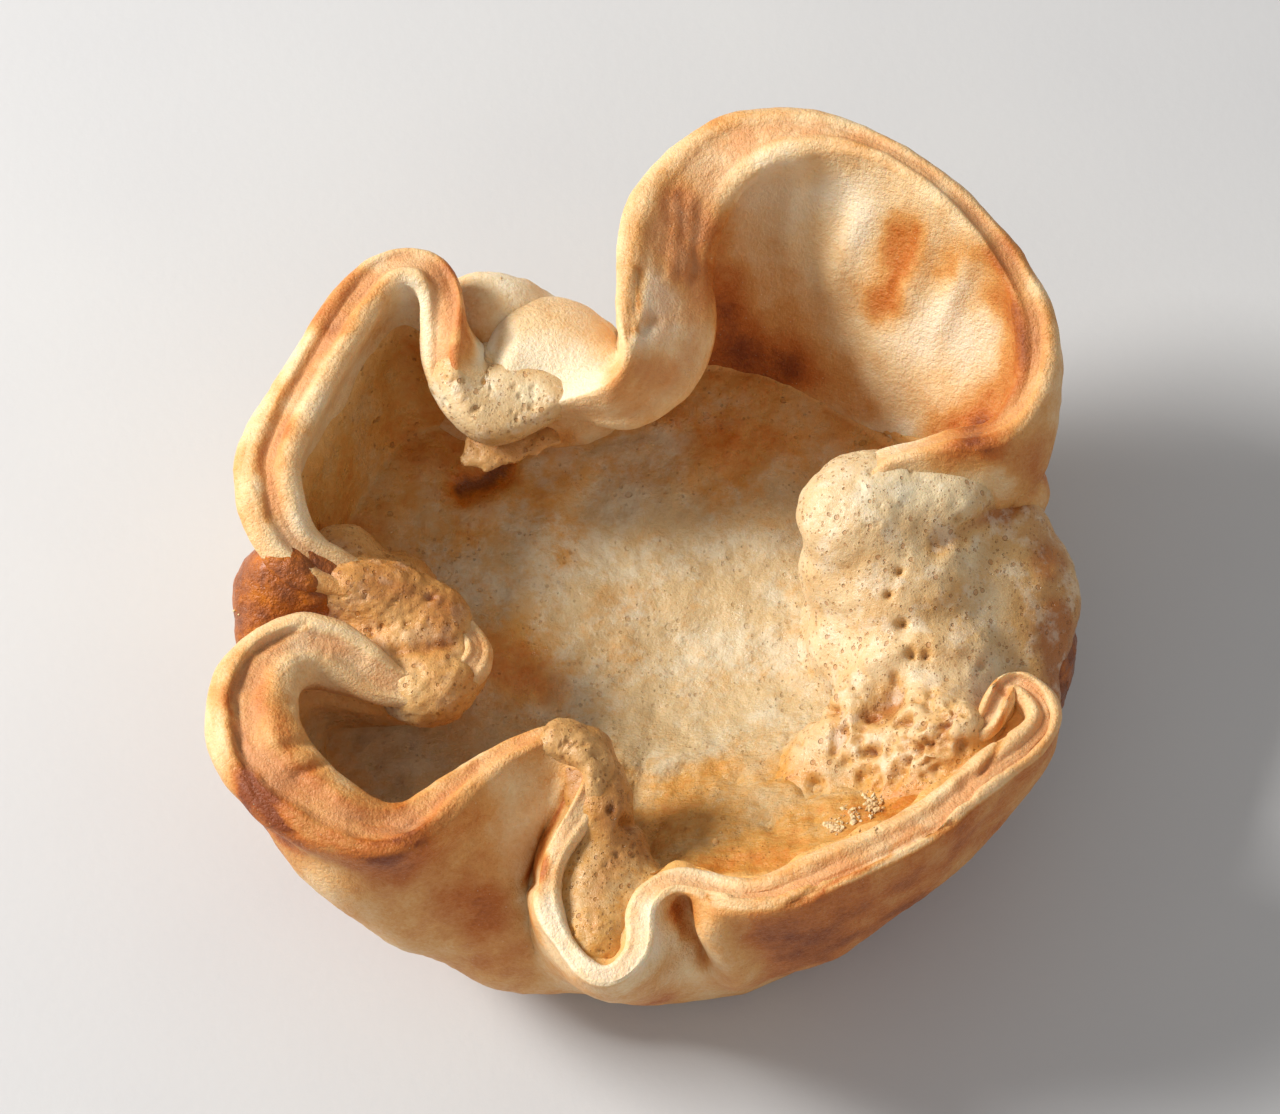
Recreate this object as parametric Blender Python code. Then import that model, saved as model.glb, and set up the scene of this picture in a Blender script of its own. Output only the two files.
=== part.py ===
"""Butter tart: a ruffled shortcrust shell round a sunken, caramelised filling.

Run in Blender 4.5: blender --background --python part.py
Metres, +Z up. The origin is the middle of the flat base, which rests on z = 0.

The shell is one sheet of dough. Its edge runs clockwise (seen from above) through lobes that
lean out and pleats that fold in over the filling, and below that edge the wall comes down to a
round base, as it stood in its baking cup. The filling lies in the shell, climbs its walls,
froths over three of the pleats and has boiled over on the right and on the left.
"""

from dataclasses import dataclass

import bmesh
import bpy
import numpy as np
from mathutils.bvhtree import BVHTree

MM = 0.001  # everything below is in millimetres until a mesh is made

# --- the sheet of dough -------------------------------------------------------------------
DOUGH = 2.9  # thickness of the baked sheet
BASE_RADIUS = 27.6  # outside, where the base ends
CORNER_RADIUS = 3.0  # bend between base and wall, on the sheet's middle surface
CUP_SLOPE = 20.0  # degrees that the wall leans out of the upright as it leaves the base
EDGE_HEIGHT = 0.75  # how far the rounded edge stands above the rim's path
GROOVE_DEPTH = 0.55  # sunken band between the edge's two ridges
GROOVE_HALF_WIDTH = 0.45  # as a share of half the lip
LIP_FADE = 4.5  # below the rim, the distance in which the lip becomes plain wall

# --- the filling --------------------------------------------------------------------------
GAP = 0.5  # clearance cut between the filling and the dough
LEAST_GAP = 0.3  # what is left of it everywhere once the mesh is thinned out
EASING_ROUNDS = 12
FLOOR_LEVEL = 11.5  # height of the sunken middle
FLOOR_CENTRE = (1.5, 1.0)
FLOOR_EASE = 8  # columns to either side over which the floor's edge is evened out
SLOPE_REACH = 0.45  # share of the way in from the wall at which the slope has run out
COAT = 1.3  # thickness of the layer left on the wall

# --- meshing ------------------------------------------------------------------------------
ROUND_COUNT = 720  # columns along the rim
WALL_ROWS = 22
EDGE_ROWS = 9
CORNER_ROWS = 5
VOXEL = 0.42
SOFTENING = 60  # rounds of smoothing where swells meet
BASE_TRIM = 0.08  # shaved off below, so that the base is one true plane
SHELL_TRIANGLES = 9200
FILLING_TRIANGLES = 4300


@dataclass
class Fold:
    """One lobe or pleat of the rim. Sizes in mm, angles in degrees.

    path is the middle of the rim seen from above. foot is the bearing at which the fold meets
    the base. lean is positive where the sheet's edge tips inwards, belly pushes the wall out,
    flop is how far the edge lies folded over, bare is how much of the inner wall shows as plain
    pastry below the rim and level is where the filling meets that wall.
    """

    name: str
    foot: float
    height: float
    lip: float
    lean: float
    belly: float
    flop: float
    bare: float
    level: float
    path: tuple


FOLDS = (
    Fold("left pleat", foot=172, height=20.5, lip=2.8, lean=32, belly=0, flop=2, bare=0.3, level=14,
         path=((-20.5, -8), (-16.5, -7), (-14.5, -4), (-18.5, -0.5), (-25, 1))),
    Fold("upper left lobe", foot=150, height=28.5, lip=4.2, lean=-12, belly=1.5, flop=0, bare=4, level=13,
         path=((-30, 3), (-32, 7.5), (-31.5, 12), (-27.5, 20), (-25, 24.5), (-21.5, 27.5), (-18, 26),
               (-17, 21.5))),
    Fold("rear pleat", foot=106, height=24.5, lip=3.2, lean=66, belly=2, flop=10, bare=0.3, level=12,
         path=((-16.5, 17.5), (-13.5, 14.5), (-8.5, 16.5), (-3.5, 16))),
    Fold("left arm of the tall lobe", foot=91, height=28, lip=7, lean=28, belly=0, flop=3, bare=8, level=12,
         path=((-0.5, 18), (1, 23), (1, 29))),
    Fold("tall lobe", foot=54, height=32.5, lip=2.8, lean=-14, belly=0, flop=0, bare=14, level=11.5,
         path=((2, 34), (5, 38), (11, 39), (17, 37.5), (23.5, 33), (28.5, 28), (31, 21.5), (30.5, 16))),
    Fold("right pleat", foot=16, height=25.5, lip=3.6, lean=45, belly=0, flop=4, bare=0.3, level=14,
         path=((27.5, 12.5), (23, 12), (17.5, 10), (15.5, 6))),
    Fold("drowned side of the right pleat", foot=-2, height=20.5, lip=3, lean=20, belly=0, flop=1, bare=0.3,
         level=15, path=((17.5, 1), (21.5, -6.5))),
    Fold("curled tip", foot=-16, height=24.5, lip=2.8, lean=5, belly=0.5, flop=0, bare=1, level=19,
         path=((24.5, -11), (26, -8.5), (28.5, -8), (29.5, -11.5))),
    Fold("right front lobe", foot=-44, height=26, lip=4.2, lean=20, belly=0.6, flop=0, bare=1, level=19,
         path=((26, -17), (20, -22), (14, -25), (8.5, -27))),
    Fold("small front pleat", foot=-83, height=23.5, lip=3, lean=32, belly=0, flop=1, bare=1, level=18,
         path=((5, -26.5), (1.5, -25.5), (-1, -27.5))),
    Fold("spout", foot=-98, height=22.5, lip=2.3, lean=-5, belly=0, flop=0, bare=1, level=18,
         path=((-1.5, -31), (-4, -33), (-7, -30.5), (-8.5, -26.5), (-7.5, -22))),
    Fold("front pleat", foot=-112, height=24.5, lip=3.6, lean=42, belly=5.5, flop=4, bare=0.3, level=16,
         path=((-5, -17), (-7, -13.5), (-11.5, -15))),
    Fold("lower left lobe", foot=-147, height=26.5, lip=5.4, lean=-2, belly=4.5, flop=0, bare=4, level=13,
         path=((-16, -19), (-21, -23), (-27, -21.5), (-31.5, -17), (-33, -11.5), (-31.5, -6.5),
               (-28, -4.5), (-24.5, -5.5))),
)


@dataclass
class Swell:
    """A rounded mass of filling: middle, half sizes and its turn about Z in degrees."""

    name: str
    middle: tuple
    half: tuple
    turn: float


SWELLS = (
    Swell("froth on the rear pleat", (-13.2, 14.6, 24), (6.6, 4.2, 3), 0),
    Swell("froth on the right pleat", (18, 8, 22), (6, 5.4, 3.6), 20),
    Swell("lower froth of the right pleat", (17, 4, 18.5), (5.5, 6, 4.5), 0),
    Swell("froth in the right pleat's valley", (25.5, 3, 16.2), (9.5, 7.5, 4.6), 0),
    Swell("froth over the right pleat's rim", (20.8, -3, 19.8), (4.8, 8, 3), 25),
    Swell("boiled over on the right", (32.6, 2.3, 12.6), (3.1, 5.8, 5.2), 0),
    Swell("open crumb by the curled tip", (19.5, -9.5, 14.5), (8.5, 6.5, 4.2), -30),
    Swell("open crumb below it", (15, -12, 13.5), (7, 6, 4), 0),
    Swell("crust over the left pleat", (-21.5, -1.4, 20), (8.5, 5, 2.8), 5),
    Swell("froth in the left pleat's valley", (-27.5, 0.8, 16.8), (6.5, 2.8, 4.4), 0),
    Swell("leak on the left", (-32.2, 3.2, 14.5), (3.1, 3.3, 6.5), 0),
    Swell("crust over the front pleat", (-5.6, -14.3, 24), (3.8, 3.2, 1.9), -50),
)


# --- curves along the rim -----------------------------------------------------------------
def closed_spline(points, knots, at):
    """A smooth closed curve through points at the parameters knots, read at the values at."""
    count = len(points)
    span = np.append(knots[1:], 1.0) - knots
    system = np.zeros((count, count))
    right = np.zeros(points.shape)
    for i in range(count):
        before, after = span[i - 1], span[i]
        system[i, i - 1] += before
        system[i, i] += 2 * (before + after)
        system[i, (i + 1) % count] += after
        right[i] = 6 * ((points[(i + 1) % count] - points[i]) / after - (points[i] - points[i - 1]) / before)
    bend = np.linalg.solve(system, right)
    cell = np.clip(np.searchsorted(knots, at, side="right") - 1, 0, count - 1)
    following = (cell + 1) % count
    width = span[cell][:, None]
    back = (knots[cell] + span[cell] - at)[:, None] / width
    ahead = (at - knots[cell])[:, None] / width
    straight = back * points[cell] + ahead * points[following]
    curve = (back**3 - back) * bend[cell] + (ahead**3 - ahead) * bend[following]
    return straight + curve * width**2 / 6


def closed_smooth(values, reach):
    """Averages a closed row of values over a window of +-reach samples, falling off softly."""
    window = np.hanning(2 * reach + 3)[1:-1]
    window /= window.sum()
    padded = np.concatenate([values[-reach:], values, values[:reach]])
    if values.ndim == 1:
        return np.convolve(padded, window, "valid")
    return np.stack([np.convolve(column, window, "valid") for column in padded.T], axis=1)


def rim_places(count):
    """Even samples along the rim: plan positions, and each fold's share of the way round."""
    points = np.array([point for fold in FOLDS for point in fold.path], float)
    chord = np.linalg.norm(np.roll(points, -1, axis=0) - points, axis=1) ** 0.5
    knots = np.concatenate([[0], np.cumsum(chord)[:-1]]) / chord.sum()
    fine = np.linspace(0, 1, 6000, endpoint=False)
    curve = closed_spline(points, knots, fine)
    step = np.linalg.norm(np.roll(curve, -1, axis=0) - curve, axis=1)
    travelled = np.concatenate([[0], np.cumsum(step)])
    length = travelled[-1]
    wanted = np.interp(np.linspace(0, length, count, endpoint=False), travelled, np.append(fine, 1))
    middles, first = [], 0
    for fold in FOLDS:
        last = first + len(fold.path) - 1
        middles.append((knots[first] + knots[last]) / 2)
        first = last + 1
    shares = np.interp(middles, np.append(fine, 1), travelled / length)
    return closed_spline(points, knots, wanted), shares


def along_rim(field, shares, count):
    """A fold's named value, eased from each fold's middle to the next."""
    values = np.array([getattr(fold, field) for fold in FOLDS], float)
    places = np.concatenate([shares - 1, shares, shares + 1])
    values = np.tile(values, 3)
    at = np.arange(count) / count
    cell = np.searchsorted(places, at, side="right") - 1
    share = (at - places[cell]) / (places[cell + 1] - places[cell])
    share = share * share * (3 - 2 * share)
    return values[cell] * (1 - share) + values[cell + 1] * share


def foot_bearings(shares, count):
    """Bearing at which each column of the wall meets the base, running once round, evenly eased."""
    feet = np.degrees(np.unwrap(np.radians([fold.foot for fold in FOLDS])))
    places = np.concatenate([shares - 1, shares, shares + 1])
    feet = np.concatenate([feet + 360, feet, feet - 360])
    plain = np.interp(np.arange(count) / count, places, feet)
    steps = closed_smooth(np.diff(np.append(plain, plain[0] - 360)), count // 36)
    steps *= -360 / steps.sum()
    eased = np.concatenate([[0], np.cumsum(steps)[:-1]])
    return np.radians(eased + np.mean(plain - eased))


# --- the sheet ----------------------------------------------------------------------------
class Sheet:
    """The dough's middle surface: rows from the rim (0) to the base's edge, columns round it."""

    def __init__(self, count=ROUND_COUNT):
        plan, shares = rim_places(count)
        value = {
            field: along_rim(field, shares, count)
            for field in ("height", "lip", "lean", "belly", "flop", "bare", "level")
        }
        self.count = count
        self.bare = value["bare"]
        self.level = value["level"]
        self.rim = np.column_stack([plan, value["height"]])
        self.lay_rim(value["lip"], np.radians(value["lean"]))
        self.lay_wall(foot_bearings(shares, count), value["belly"], value["flop"])
        self.lay_thickness()

    def lay_rim(self, lip, lean):
        """Half the lip's width as a vector across the edge, and the way in which the edge points."""
        ahead = np.roll(self.rim, -1, axis=0) - np.roll(self.rim, 1, axis=0)
        out = np.column_stack([-ahead[:, 1], ahead[:, 0], np.zeros(self.count)])
        out /= np.linalg.norm(out, axis=1)[:, None]
        rise = np.array([0, 0, 1.0])
        sine, cosine = np.sin(lean)[:, None], np.cos(lean)[:, None]
        self.half_lip = (out * cosine + rise * sine) * lip[:, None] / 2
        self.edge_way = rise * cosine - out * sine

    def lay_wall(self, foot, belly, flop):
        """Wall as a cubic curve in each column, then the bend into the base."""
        slope = np.radians(CUP_SLOPE)
        rise = np.array([0, 0, 1.0])
        spoke = np.column_stack([np.cos(foot), np.sin(foot), np.zeros(self.count)])
        bend_middle = BASE_RADIUS - DOUGH / 2 - CORNER_RADIUS * np.cos(slope)
        bend_height = DOUGH / 2 + CORNER_RADIUS
        start = spoke * (bend_middle + CORNER_RADIUS * np.cos(slope))
        start += rise * (bend_height - CORNER_RADIUS * np.sin(slope))
        height = self.rim[:, 2]
        drawn_in = BASE_RADIUS + height * np.tan(slope) - np.hypot(self.rim[:, 0], self.rim[:, 1])
        upright = height * np.clip(0.45 - 0.018 * np.clip(drawn_in, 0, None) + 0.04 * flop, 0.18, 0.55)
        lower = start + (spoke * np.sin(slope) + rise * np.cos(slope)) * upright[:, None]
        upper = self.rim - self.edge_way * (0.3 * height + flop)[:, None]
        lower += spoke * belly[:, None]
        upper += spoke * belly[:, None]
        rows = []
        for up in np.linspace(1, 0, WALL_ROWS):
            down = 1 - up
            rows.append(start * down**3 + lower * (3 * up * down**2) + upper * (3 * up**2 * down)
                        + self.rim * up**3)
        for turn in np.linspace(-slope, -np.pi / 2, CORNER_ROWS + 1)[1:]:
            rows.append(spoke * (bend_middle + CORNER_RADIUS * np.cos(turn))
                        + rise * (bend_height + CORNER_RADIUS * np.sin(turn)))
        self.middle = np.array(rows)

    def lay_thickness(self):
        """Half the dough's thickness as a vector at every point, pointing out of the bowl."""
        along = np.roll(self.middle, -1, axis=1) - np.roll(self.middle, 1, axis=1)
        normal = np.cross(along, np.gradient(self.middle, axis=0))
        normal /= np.linalg.norm(normal, axis=2)[..., None] + 1e-9
        normal *= np.sign(np.sum(normal[2] * self.half_lip))
        step = np.linalg.norm(np.diff(self.middle, axis=0), axis=2)
        self.depth = np.concatenate([np.zeros((1, self.count)), np.cumsum(step, axis=0)])
        plain = np.clip(self.depth / LIP_FADE, 0, 1)
        plain = (plain * plain * (3 - 2 * plain))[..., None]
        half = self.half_lip * (1 - plain) + normal * (plain * DOUGH / 2)
        self.half = np.array([closed_smooth(row, 4) for row in half])

    def grown(self, grow):
        """Half thickness with grow added on both sides."""
        size = np.linalg.norm(self.half, axis=2)[..., None]
        return self.half * (size + grow) / size

    def edge(self, grow):
        """The rounded edge, from its inner ridge over the groove to its outer ridge."""
        half = self.grown(grow)[0]
        rows = []
        for turn in np.linspace(0, np.pi, EDGE_ROWS + 2)[1:-1]:
            across = -np.cos(turn)
            dip = GROOVE_DEPTH * np.exp(-((across / GROOVE_HALF_WIDTH) ** 2))
            lift = (EDGE_HEIGHT + grow) * np.sin(turn) ** 0.7 - dip
            rows.append(self.rim + half * across + self.edge_way * lift)
        return np.array(rows)

    def shell_rows(self, grow=0.0):
        """Closed skin of the shell, row by row, from the middle of its inside to that of its base."""
        half = self.grown(grow)
        inner = (self.middle - half)[::-1]
        outer = self.middle + half
        inside = [flat_row(inner[0], share, DOUGH + grow) for share in (0.05, 0.4, 0.75)]
        outside = [flat_row(outer[-1], share, -grow) for share in (0.75, 0.4, 0.05)]
        return np.concatenate([inside, inner, self.edge(grow), outer, outside])

    def filling_rows(self):
        """Closed skin of the filling before the dough is cut out of it."""
        wall = self.middle - self.grown(COAT)
        top = self.row_where(self.depth, self.bare)
        low = self.row_where(-wall[:, :, 2], -self.level)
        contact = closed_smooth(np.maximum(low, top + 2), FLOOR_EASE)
        top = closed_smooth(top, FLOOR_EASE)
        columns = np.arange(self.count)
        rows = [flat_row(self.middle[-1], share, DOUGH / 2) for share in (0.05, 0.5)]
        for share in np.linspace(1, 0, WALL_ROWS):
            rows.append(self.read(self.middle, top + share * (len(self.middle) - 1 - top), columns))
        for share in np.linspace(0, 1, WALL_ROWS // 2):
            rows.append(self.read(wall, top + share * (contact - top), columns))
        rim_of_floor = closed_smooth(rows[-1], FLOOR_EASE)
        middle = np.array([*FLOOR_CENTRE, FLOOR_LEVEL])
        knee = middle + (rim_of_floor - middle) * (1 - SLOPE_REACH)
        knee[:, 2] = FLOOR_LEVEL
        for share in np.linspace(0, 1, WALL_ROWS)[1:-1]:
            back = 1 - share
            row = rim_of_floor * back**2 + knee * (2 * share * back) + middle * share**2
            rows.append(closed_smooth(row, int(FLOOR_EASE * (1 + 9 * share))))
        return np.array(rows)

    @staticmethod
    def row_where(rising, wanted):
        """For each column, the row (not a whole number) at which a value that rises gets to wanted."""
        reached = np.clip(np.argmax(rising >= wanted, axis=0), 1, None)
        columns = np.arange(rising.shape[1])
        before, after = rising[reached - 1, columns], rising[reached, columns]
        return reached - 1 + np.clip((wanted - before) / (after - before + 1e-9), 0, 1)

    @staticmethod
    def read(surface, row, columns):
        """Surface points at rows that need not be whole numbers."""
        low = np.clip(np.floor(row).astype(int), 0, len(surface) - 2)
        share = (row - low)[:, None]
        return surface[low, columns] * (1 - share) + surface[low + 1, columns] * share


def flat_row(row, share, height):
    """A row drawn in towards the middle of the base at one height."""
    return np.column_stack([row[:, :2] * share, np.full(len(row), height)])


# --- meshes -------------------------------------------------------------------------------
def add_object(name, verts, faces):
    """A new object from points in mm."""
    mesh = bpy.data.meshes.new(name)
    mesh.from_pydata((np.asarray(verts) * MM).tolist(), [], faces)
    obj = bpy.data.objects.new(name, mesh)
    bpy.context.scene.collection.objects.link(obj)
    return obj


def add_skin(name, rows):
    """A closed object from rows of points that run round, with a point at either end."""
    count, width, _ = rows.shape
    ends = [rows[0].mean(axis=0), rows[-1].mean(axis=0)]
    first, last = count * width, count * width + 1
    faces = []
    for r in range(count - 1):
        for c in range(width):
            d = (c + 1) % width
            faces.append((r * width + c, r * width + d, (r + 1) * width + d, (r + 1) * width + c))
    for c in range(width):
        d = (c + 1) % width
        faces.append((first, d, c))
        faces.append((last, (count - 1) * width + c, (count - 1) * width + d))
    obj = add_object(name, np.vstack([rows.reshape(-1, 3), ends]), faces)
    edit = bmesh.new()
    edit.from_mesh(obj.data)
    bmesh.ops.recalc_face_normals(edit, faces=edit.faces)
    edit.to_mesh(obj.data)
    edit.free()
    return obj


def add_swell(swell):
    """One rounded mass of filling."""
    edit = bmesh.new()
    bmesh.ops.create_icosphere(edit, subdivisions=4, radius=1)
    turn = np.radians(swell.turn)
    points = np.array([vert.co for vert in edit.verts]) * swell.half
    east = points[:, 0] * np.cos(turn) - points[:, 1] * np.sin(turn)
    north = points[:, 0] * np.sin(turn) + points[:, 1] * np.cos(turn)
    placed = np.column_stack([east, north, points[:, 2]]) + swell.middle
    faces = [tuple(vert.index for vert in face.verts) for face in edit.faces]
    edit.free()
    return add_object(swell.name.replace(" ", "_").replace("'", ""), placed, faces)


def settle(obj):
    """Replaces the object's mesh by what its modifiers make of it."""
    bpy.context.view_layer.update()
    shaped = obj.evaluated_get(bpy.context.evaluated_depsgraph_get())
    mesh = bpy.data.meshes.new_from_object(shaped)
    obj.modifiers.clear()
    obj.data = mesh


def fuse(obj, voxel=VOXEL):
    """Makes one clean closed body of a skin that overlaps itself."""
    remesh = obj.modifiers.new("fuse", "REMESH")
    remesh.mode = "VOXEL"
    remesh.voxel_size = voxel * MM
    settle(obj)


def soften(obj):
    """Rounds the hollows where swells run into each other."""
    smooth = obj.modifiers.new("soften", "SMOOTH")
    smooth.factor = 0.5
    smooth.iterations = SOFTENING
    settle(obj)


def thin_out(obj, triangles):
    """Reduces the mesh to about the given number of triangles."""
    total = sum(len(face.vertices) - 2 for face in obj.data.polygons)
    decimate = obj.modifiers.new("thin_out", "DECIMATE")
    decimate.ratio = min(1.0, triangles / total)
    decimate.use_collapse_triangulate = True
    settle(obj)


def trim_base(obj):
    """Shaves the underside to one plane and sets it on z = 0."""
    edit = bmesh.new()
    edit.from_mesh(obj.data)
    geometry = edit.verts[:] + edit.edges[:] + edit.faces[:]
    cut = bmesh.ops.bisect_plane(edit, geom=geometry, plane_co=(0, 0, BASE_TRIM * MM), plane_no=(0, 0, 1),
                                 clear_inner=True)
    rim = [item for item in cut["geom_cut"] if isinstance(item, bmesh.types.BMEdge)]
    bmesh.ops.contextual_create(edit, geom=rim)
    for vert in edit.verts:
        vert.co.z -= BASE_TRIM * MM
        if abs(vert.co.z) < 1e-6:
            vert.co.z = 0
    bmesh.ops.triangulate(edit, faces=[face for face in edit.faces if len(face.verts) > 4])
    bmesh.ops.recalc_face_normals(edit, faces=edit.faces)
    edit.to_mesh(obj.data)
    edit.free()


def keep_largest(obj):
    """Drops every loose scrap but the body with the most faces."""
    edit = bmesh.new()
    edit.from_mesh(obj.data)
    waiting = set(edit.faces)
    largest = set()
    while waiting:
        body, border = set(), [next(iter(waiting))]
        while border:
            face = border.pop()
            if face in body:
                continue
            body.add(face)
            border.extend(other for edge in face.edges for other in edge.link_faces if other not in body)
        waiting -= body
        if len(body) > len(largest):
            largest = body
    bmesh.ops.delete(edit, geom=[face for face in edit.faces if face not in largest], context="FACES")
    edit.to_mesh(obj.data)
    edit.free()


def combine(obj, others, operation):
    """Joins the others to the object, or cuts them from it, and removes them."""
    for other in others:
        step = obj.modifiers.new("combine", "BOOLEAN")
        step.operation = operation
        step.solver = "MANIFOLD"
        step.object = other
    settle(obj)
    for other in others:
        bpy.data.objects.remove(other)


def ease_off(obj, other):
    """Moves the object's faces away from the other wherever they are closer than LEAST_GAP."""
    near = bmesh.new()
    near.from_mesh(other.data)
    tree = BVHTree.FromBMesh(near)
    edit = bmesh.new()
    edit.from_mesh(obj.data)
    for _ in range(EASING_ROUNDS):
        for face in edit.faces:
            corners = [vert.co.copy() for vert in face.verts]
            samples = corners + [face.calc_center_median()]
            samples += [(a + b) / 2 for a, b in zip(corners, corners[1:] + corners[:1])]
            for sample in samples:
                place, normal, _, _ = tree.find_nearest(sample)
                short = LEAST_GAP * MM - (sample - place).dot(normal)
                if short > 0:
                    for vert in face.verts:
                        vert.co += normal * (short * 0.5)
    edit.to_mesh(obj.data)
    edit.free()
    near.free()


def baked_finish(name, colour, roughness):
    """A plain baked-dough or filling finish."""
    material = bpy.data.materials.new(name)
    material.use_nodes = True
    shader = material.node_tree.nodes["Principled BSDF"]
    shader.inputs["Base Color"].default_value = (*colour, 1)
    shader.inputs["Roughness"].default_value = roughness
    shader.inputs["Metallic"].default_value = 0
    return material


def build_shell(sheet):
    """The pastry, one closed body on a flat base."""
    shell = add_skin("pastry_shell", sheet.shell_rows())
    fuse(shell)
    thin_out(shell, SHELL_TRIANGLES)
    trim_base(shell)
    shell.data.materials.append(baked_finish("baked_pastry", (0.80, 0.56, 0.31), 0.6))
    return shell


def build_filling(sheet, shell):
    """The filling: bowl-shaped body and its swells, less the dough and a clearance round it."""
    filling = add_skin("filling", sheet.filling_rows())
    fuse(filling)
    combine(filling, [add_swell(swell) for swell in SWELLS], "UNION")
    fuse(filling)
    soften(filling)
    dough = add_skin("dough_clearance", sheet.shell_rows(GAP))
    fuse(dough)
    combine(filling, [dough], "DIFFERENCE")
    fuse(filling)
    keep_largest(filling)
    thin_out(filling, FILLING_TRIANGLES)
    ease_off(filling, shell)
    filling.data.materials.append(baked_finish("caramelised_filling", (0.56, 0.38, 0.18), 0.5))
    return filling


def main():
    for obj in list(bpy.data.objects):
        bpy.data.objects.remove(obj)
    sheet = Sheet()
    shell = build_shell(sheet)
    for piece in (shell, build_filling(sheet, shell)):
        piece.data.shade_smooth()
        piece.data.set_sharp_from_angle(angle=np.radians(50))


main()
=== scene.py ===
"""Looks of the butter tart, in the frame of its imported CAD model.

The shell is one sheet of dough laid through the folds of its rim, with the relief and browning of
baked pastry. The filling is a skin inside it, with froth, open crumb and what boiled over on top.
Lengths are in millimetres until a mesh is made.
"""

import logging
import math
from collections.abc import Callable
from dataclasses import dataclass
from enum import Enum

import bpy
import numpy as np
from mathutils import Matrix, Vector
from mathutils.bvhtree import BVHTree
from mathutils.kdtree import KDTree


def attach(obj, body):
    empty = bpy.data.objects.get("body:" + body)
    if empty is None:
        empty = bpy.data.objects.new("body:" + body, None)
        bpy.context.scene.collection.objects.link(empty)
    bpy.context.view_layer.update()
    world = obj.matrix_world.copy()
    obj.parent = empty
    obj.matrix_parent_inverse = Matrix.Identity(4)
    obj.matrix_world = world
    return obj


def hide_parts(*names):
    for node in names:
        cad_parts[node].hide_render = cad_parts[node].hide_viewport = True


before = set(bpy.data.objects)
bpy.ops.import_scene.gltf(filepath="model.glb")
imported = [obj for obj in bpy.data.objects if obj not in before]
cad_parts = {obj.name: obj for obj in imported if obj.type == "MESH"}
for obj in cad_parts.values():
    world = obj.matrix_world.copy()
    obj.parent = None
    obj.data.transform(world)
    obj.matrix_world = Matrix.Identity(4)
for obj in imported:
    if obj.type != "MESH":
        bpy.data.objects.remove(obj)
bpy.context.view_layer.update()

MM = 0.001
LOG = logging.getLogger("butter_tart")


def rgb(red: float, green: float, blue: float) -> tuple[float, float, float, float]:
    """A colour as seen on a screen (0 to 255), as the renderer's linear values.

    Args:
        red: its red, 0 to 255.
        green: its green.
        blue: its blue.

    Returns:
        Linear red, green, blue and full opacity.
    """
    values = np.array([red, green, blue]) / 255
    linear = np.where(values <= 0.04045, values / 12.92, ((values + 0.055) / 1.055) ** 2.4)
    return (*(float(v) for v in linear), 1.0)


def ease(value: np.ndarray, low: float, high: float) -> np.ndarray:
    """0 below low, 1 above high, eased between them.

    Args:
        value: what is compared.
        low: where it starts to rise.
        high: where it is full.

    Returns:
        The eased shares, in the shape of value.
    """
    share = np.clip((value - low) / (high - low), 0, 1)
    return share * share * (3 - 2 * share)


class Noise:
    """A smooth random field in space, the same on every run."""

    SIZE = 40
    SHIFT = 7.7  # from layer to layer, so that their lattices don't line up

    def __init__(self, seed: int) -> None:
        """Fills the lattice that the field is read from."""
        self.lattice = np.random.default_rng(seed).uniform(-1, 1, (self.SIZE,) * 3)

    def at(self, points: np.ndarray, scale: float) -> np.ndarray:
        """The field at points, with lumps about as large as scale.

        Args:
            points: places in mm, coordinates last.
            scale: size of a lump in mm.

        Returns:
            One value for every point, about -1 to 1.
        """
        grid = points / scale
        low = np.floor(grid).astype(int)
        share = grid - low
        share = share * share * (3 - 2 * share)
        total = np.zeros(points.shape[:-1])
        for corner in np.ndindex(2, 2, 2):
            place = (low + corner) % self.SIZE
            weight = np.prod(np.where(corner, share, 1 - share), axis=-1)
            total += weight * self.lattice[place[..., 0], place[..., 1], place[..., 2]]
        return total

    def layered(self, points: np.ndarray, scale: float, layers: int = 3) -> np.ndarray:
        """The field with finer layers added, each half as strong as the one before."""
        return sum(self.at(points + self.SHIFT * i, scale / 2**i) / 2**i for i in range(layers))

    def sway(self, points: np.ndarray, scale: float, apart: float = 31.0) -> np.ndarray:
        """Two fields side by side, to bend seen places with."""
        return np.stack([self.layered(points, scale), self.layered(points + apart, scale)], axis=-1)


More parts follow.
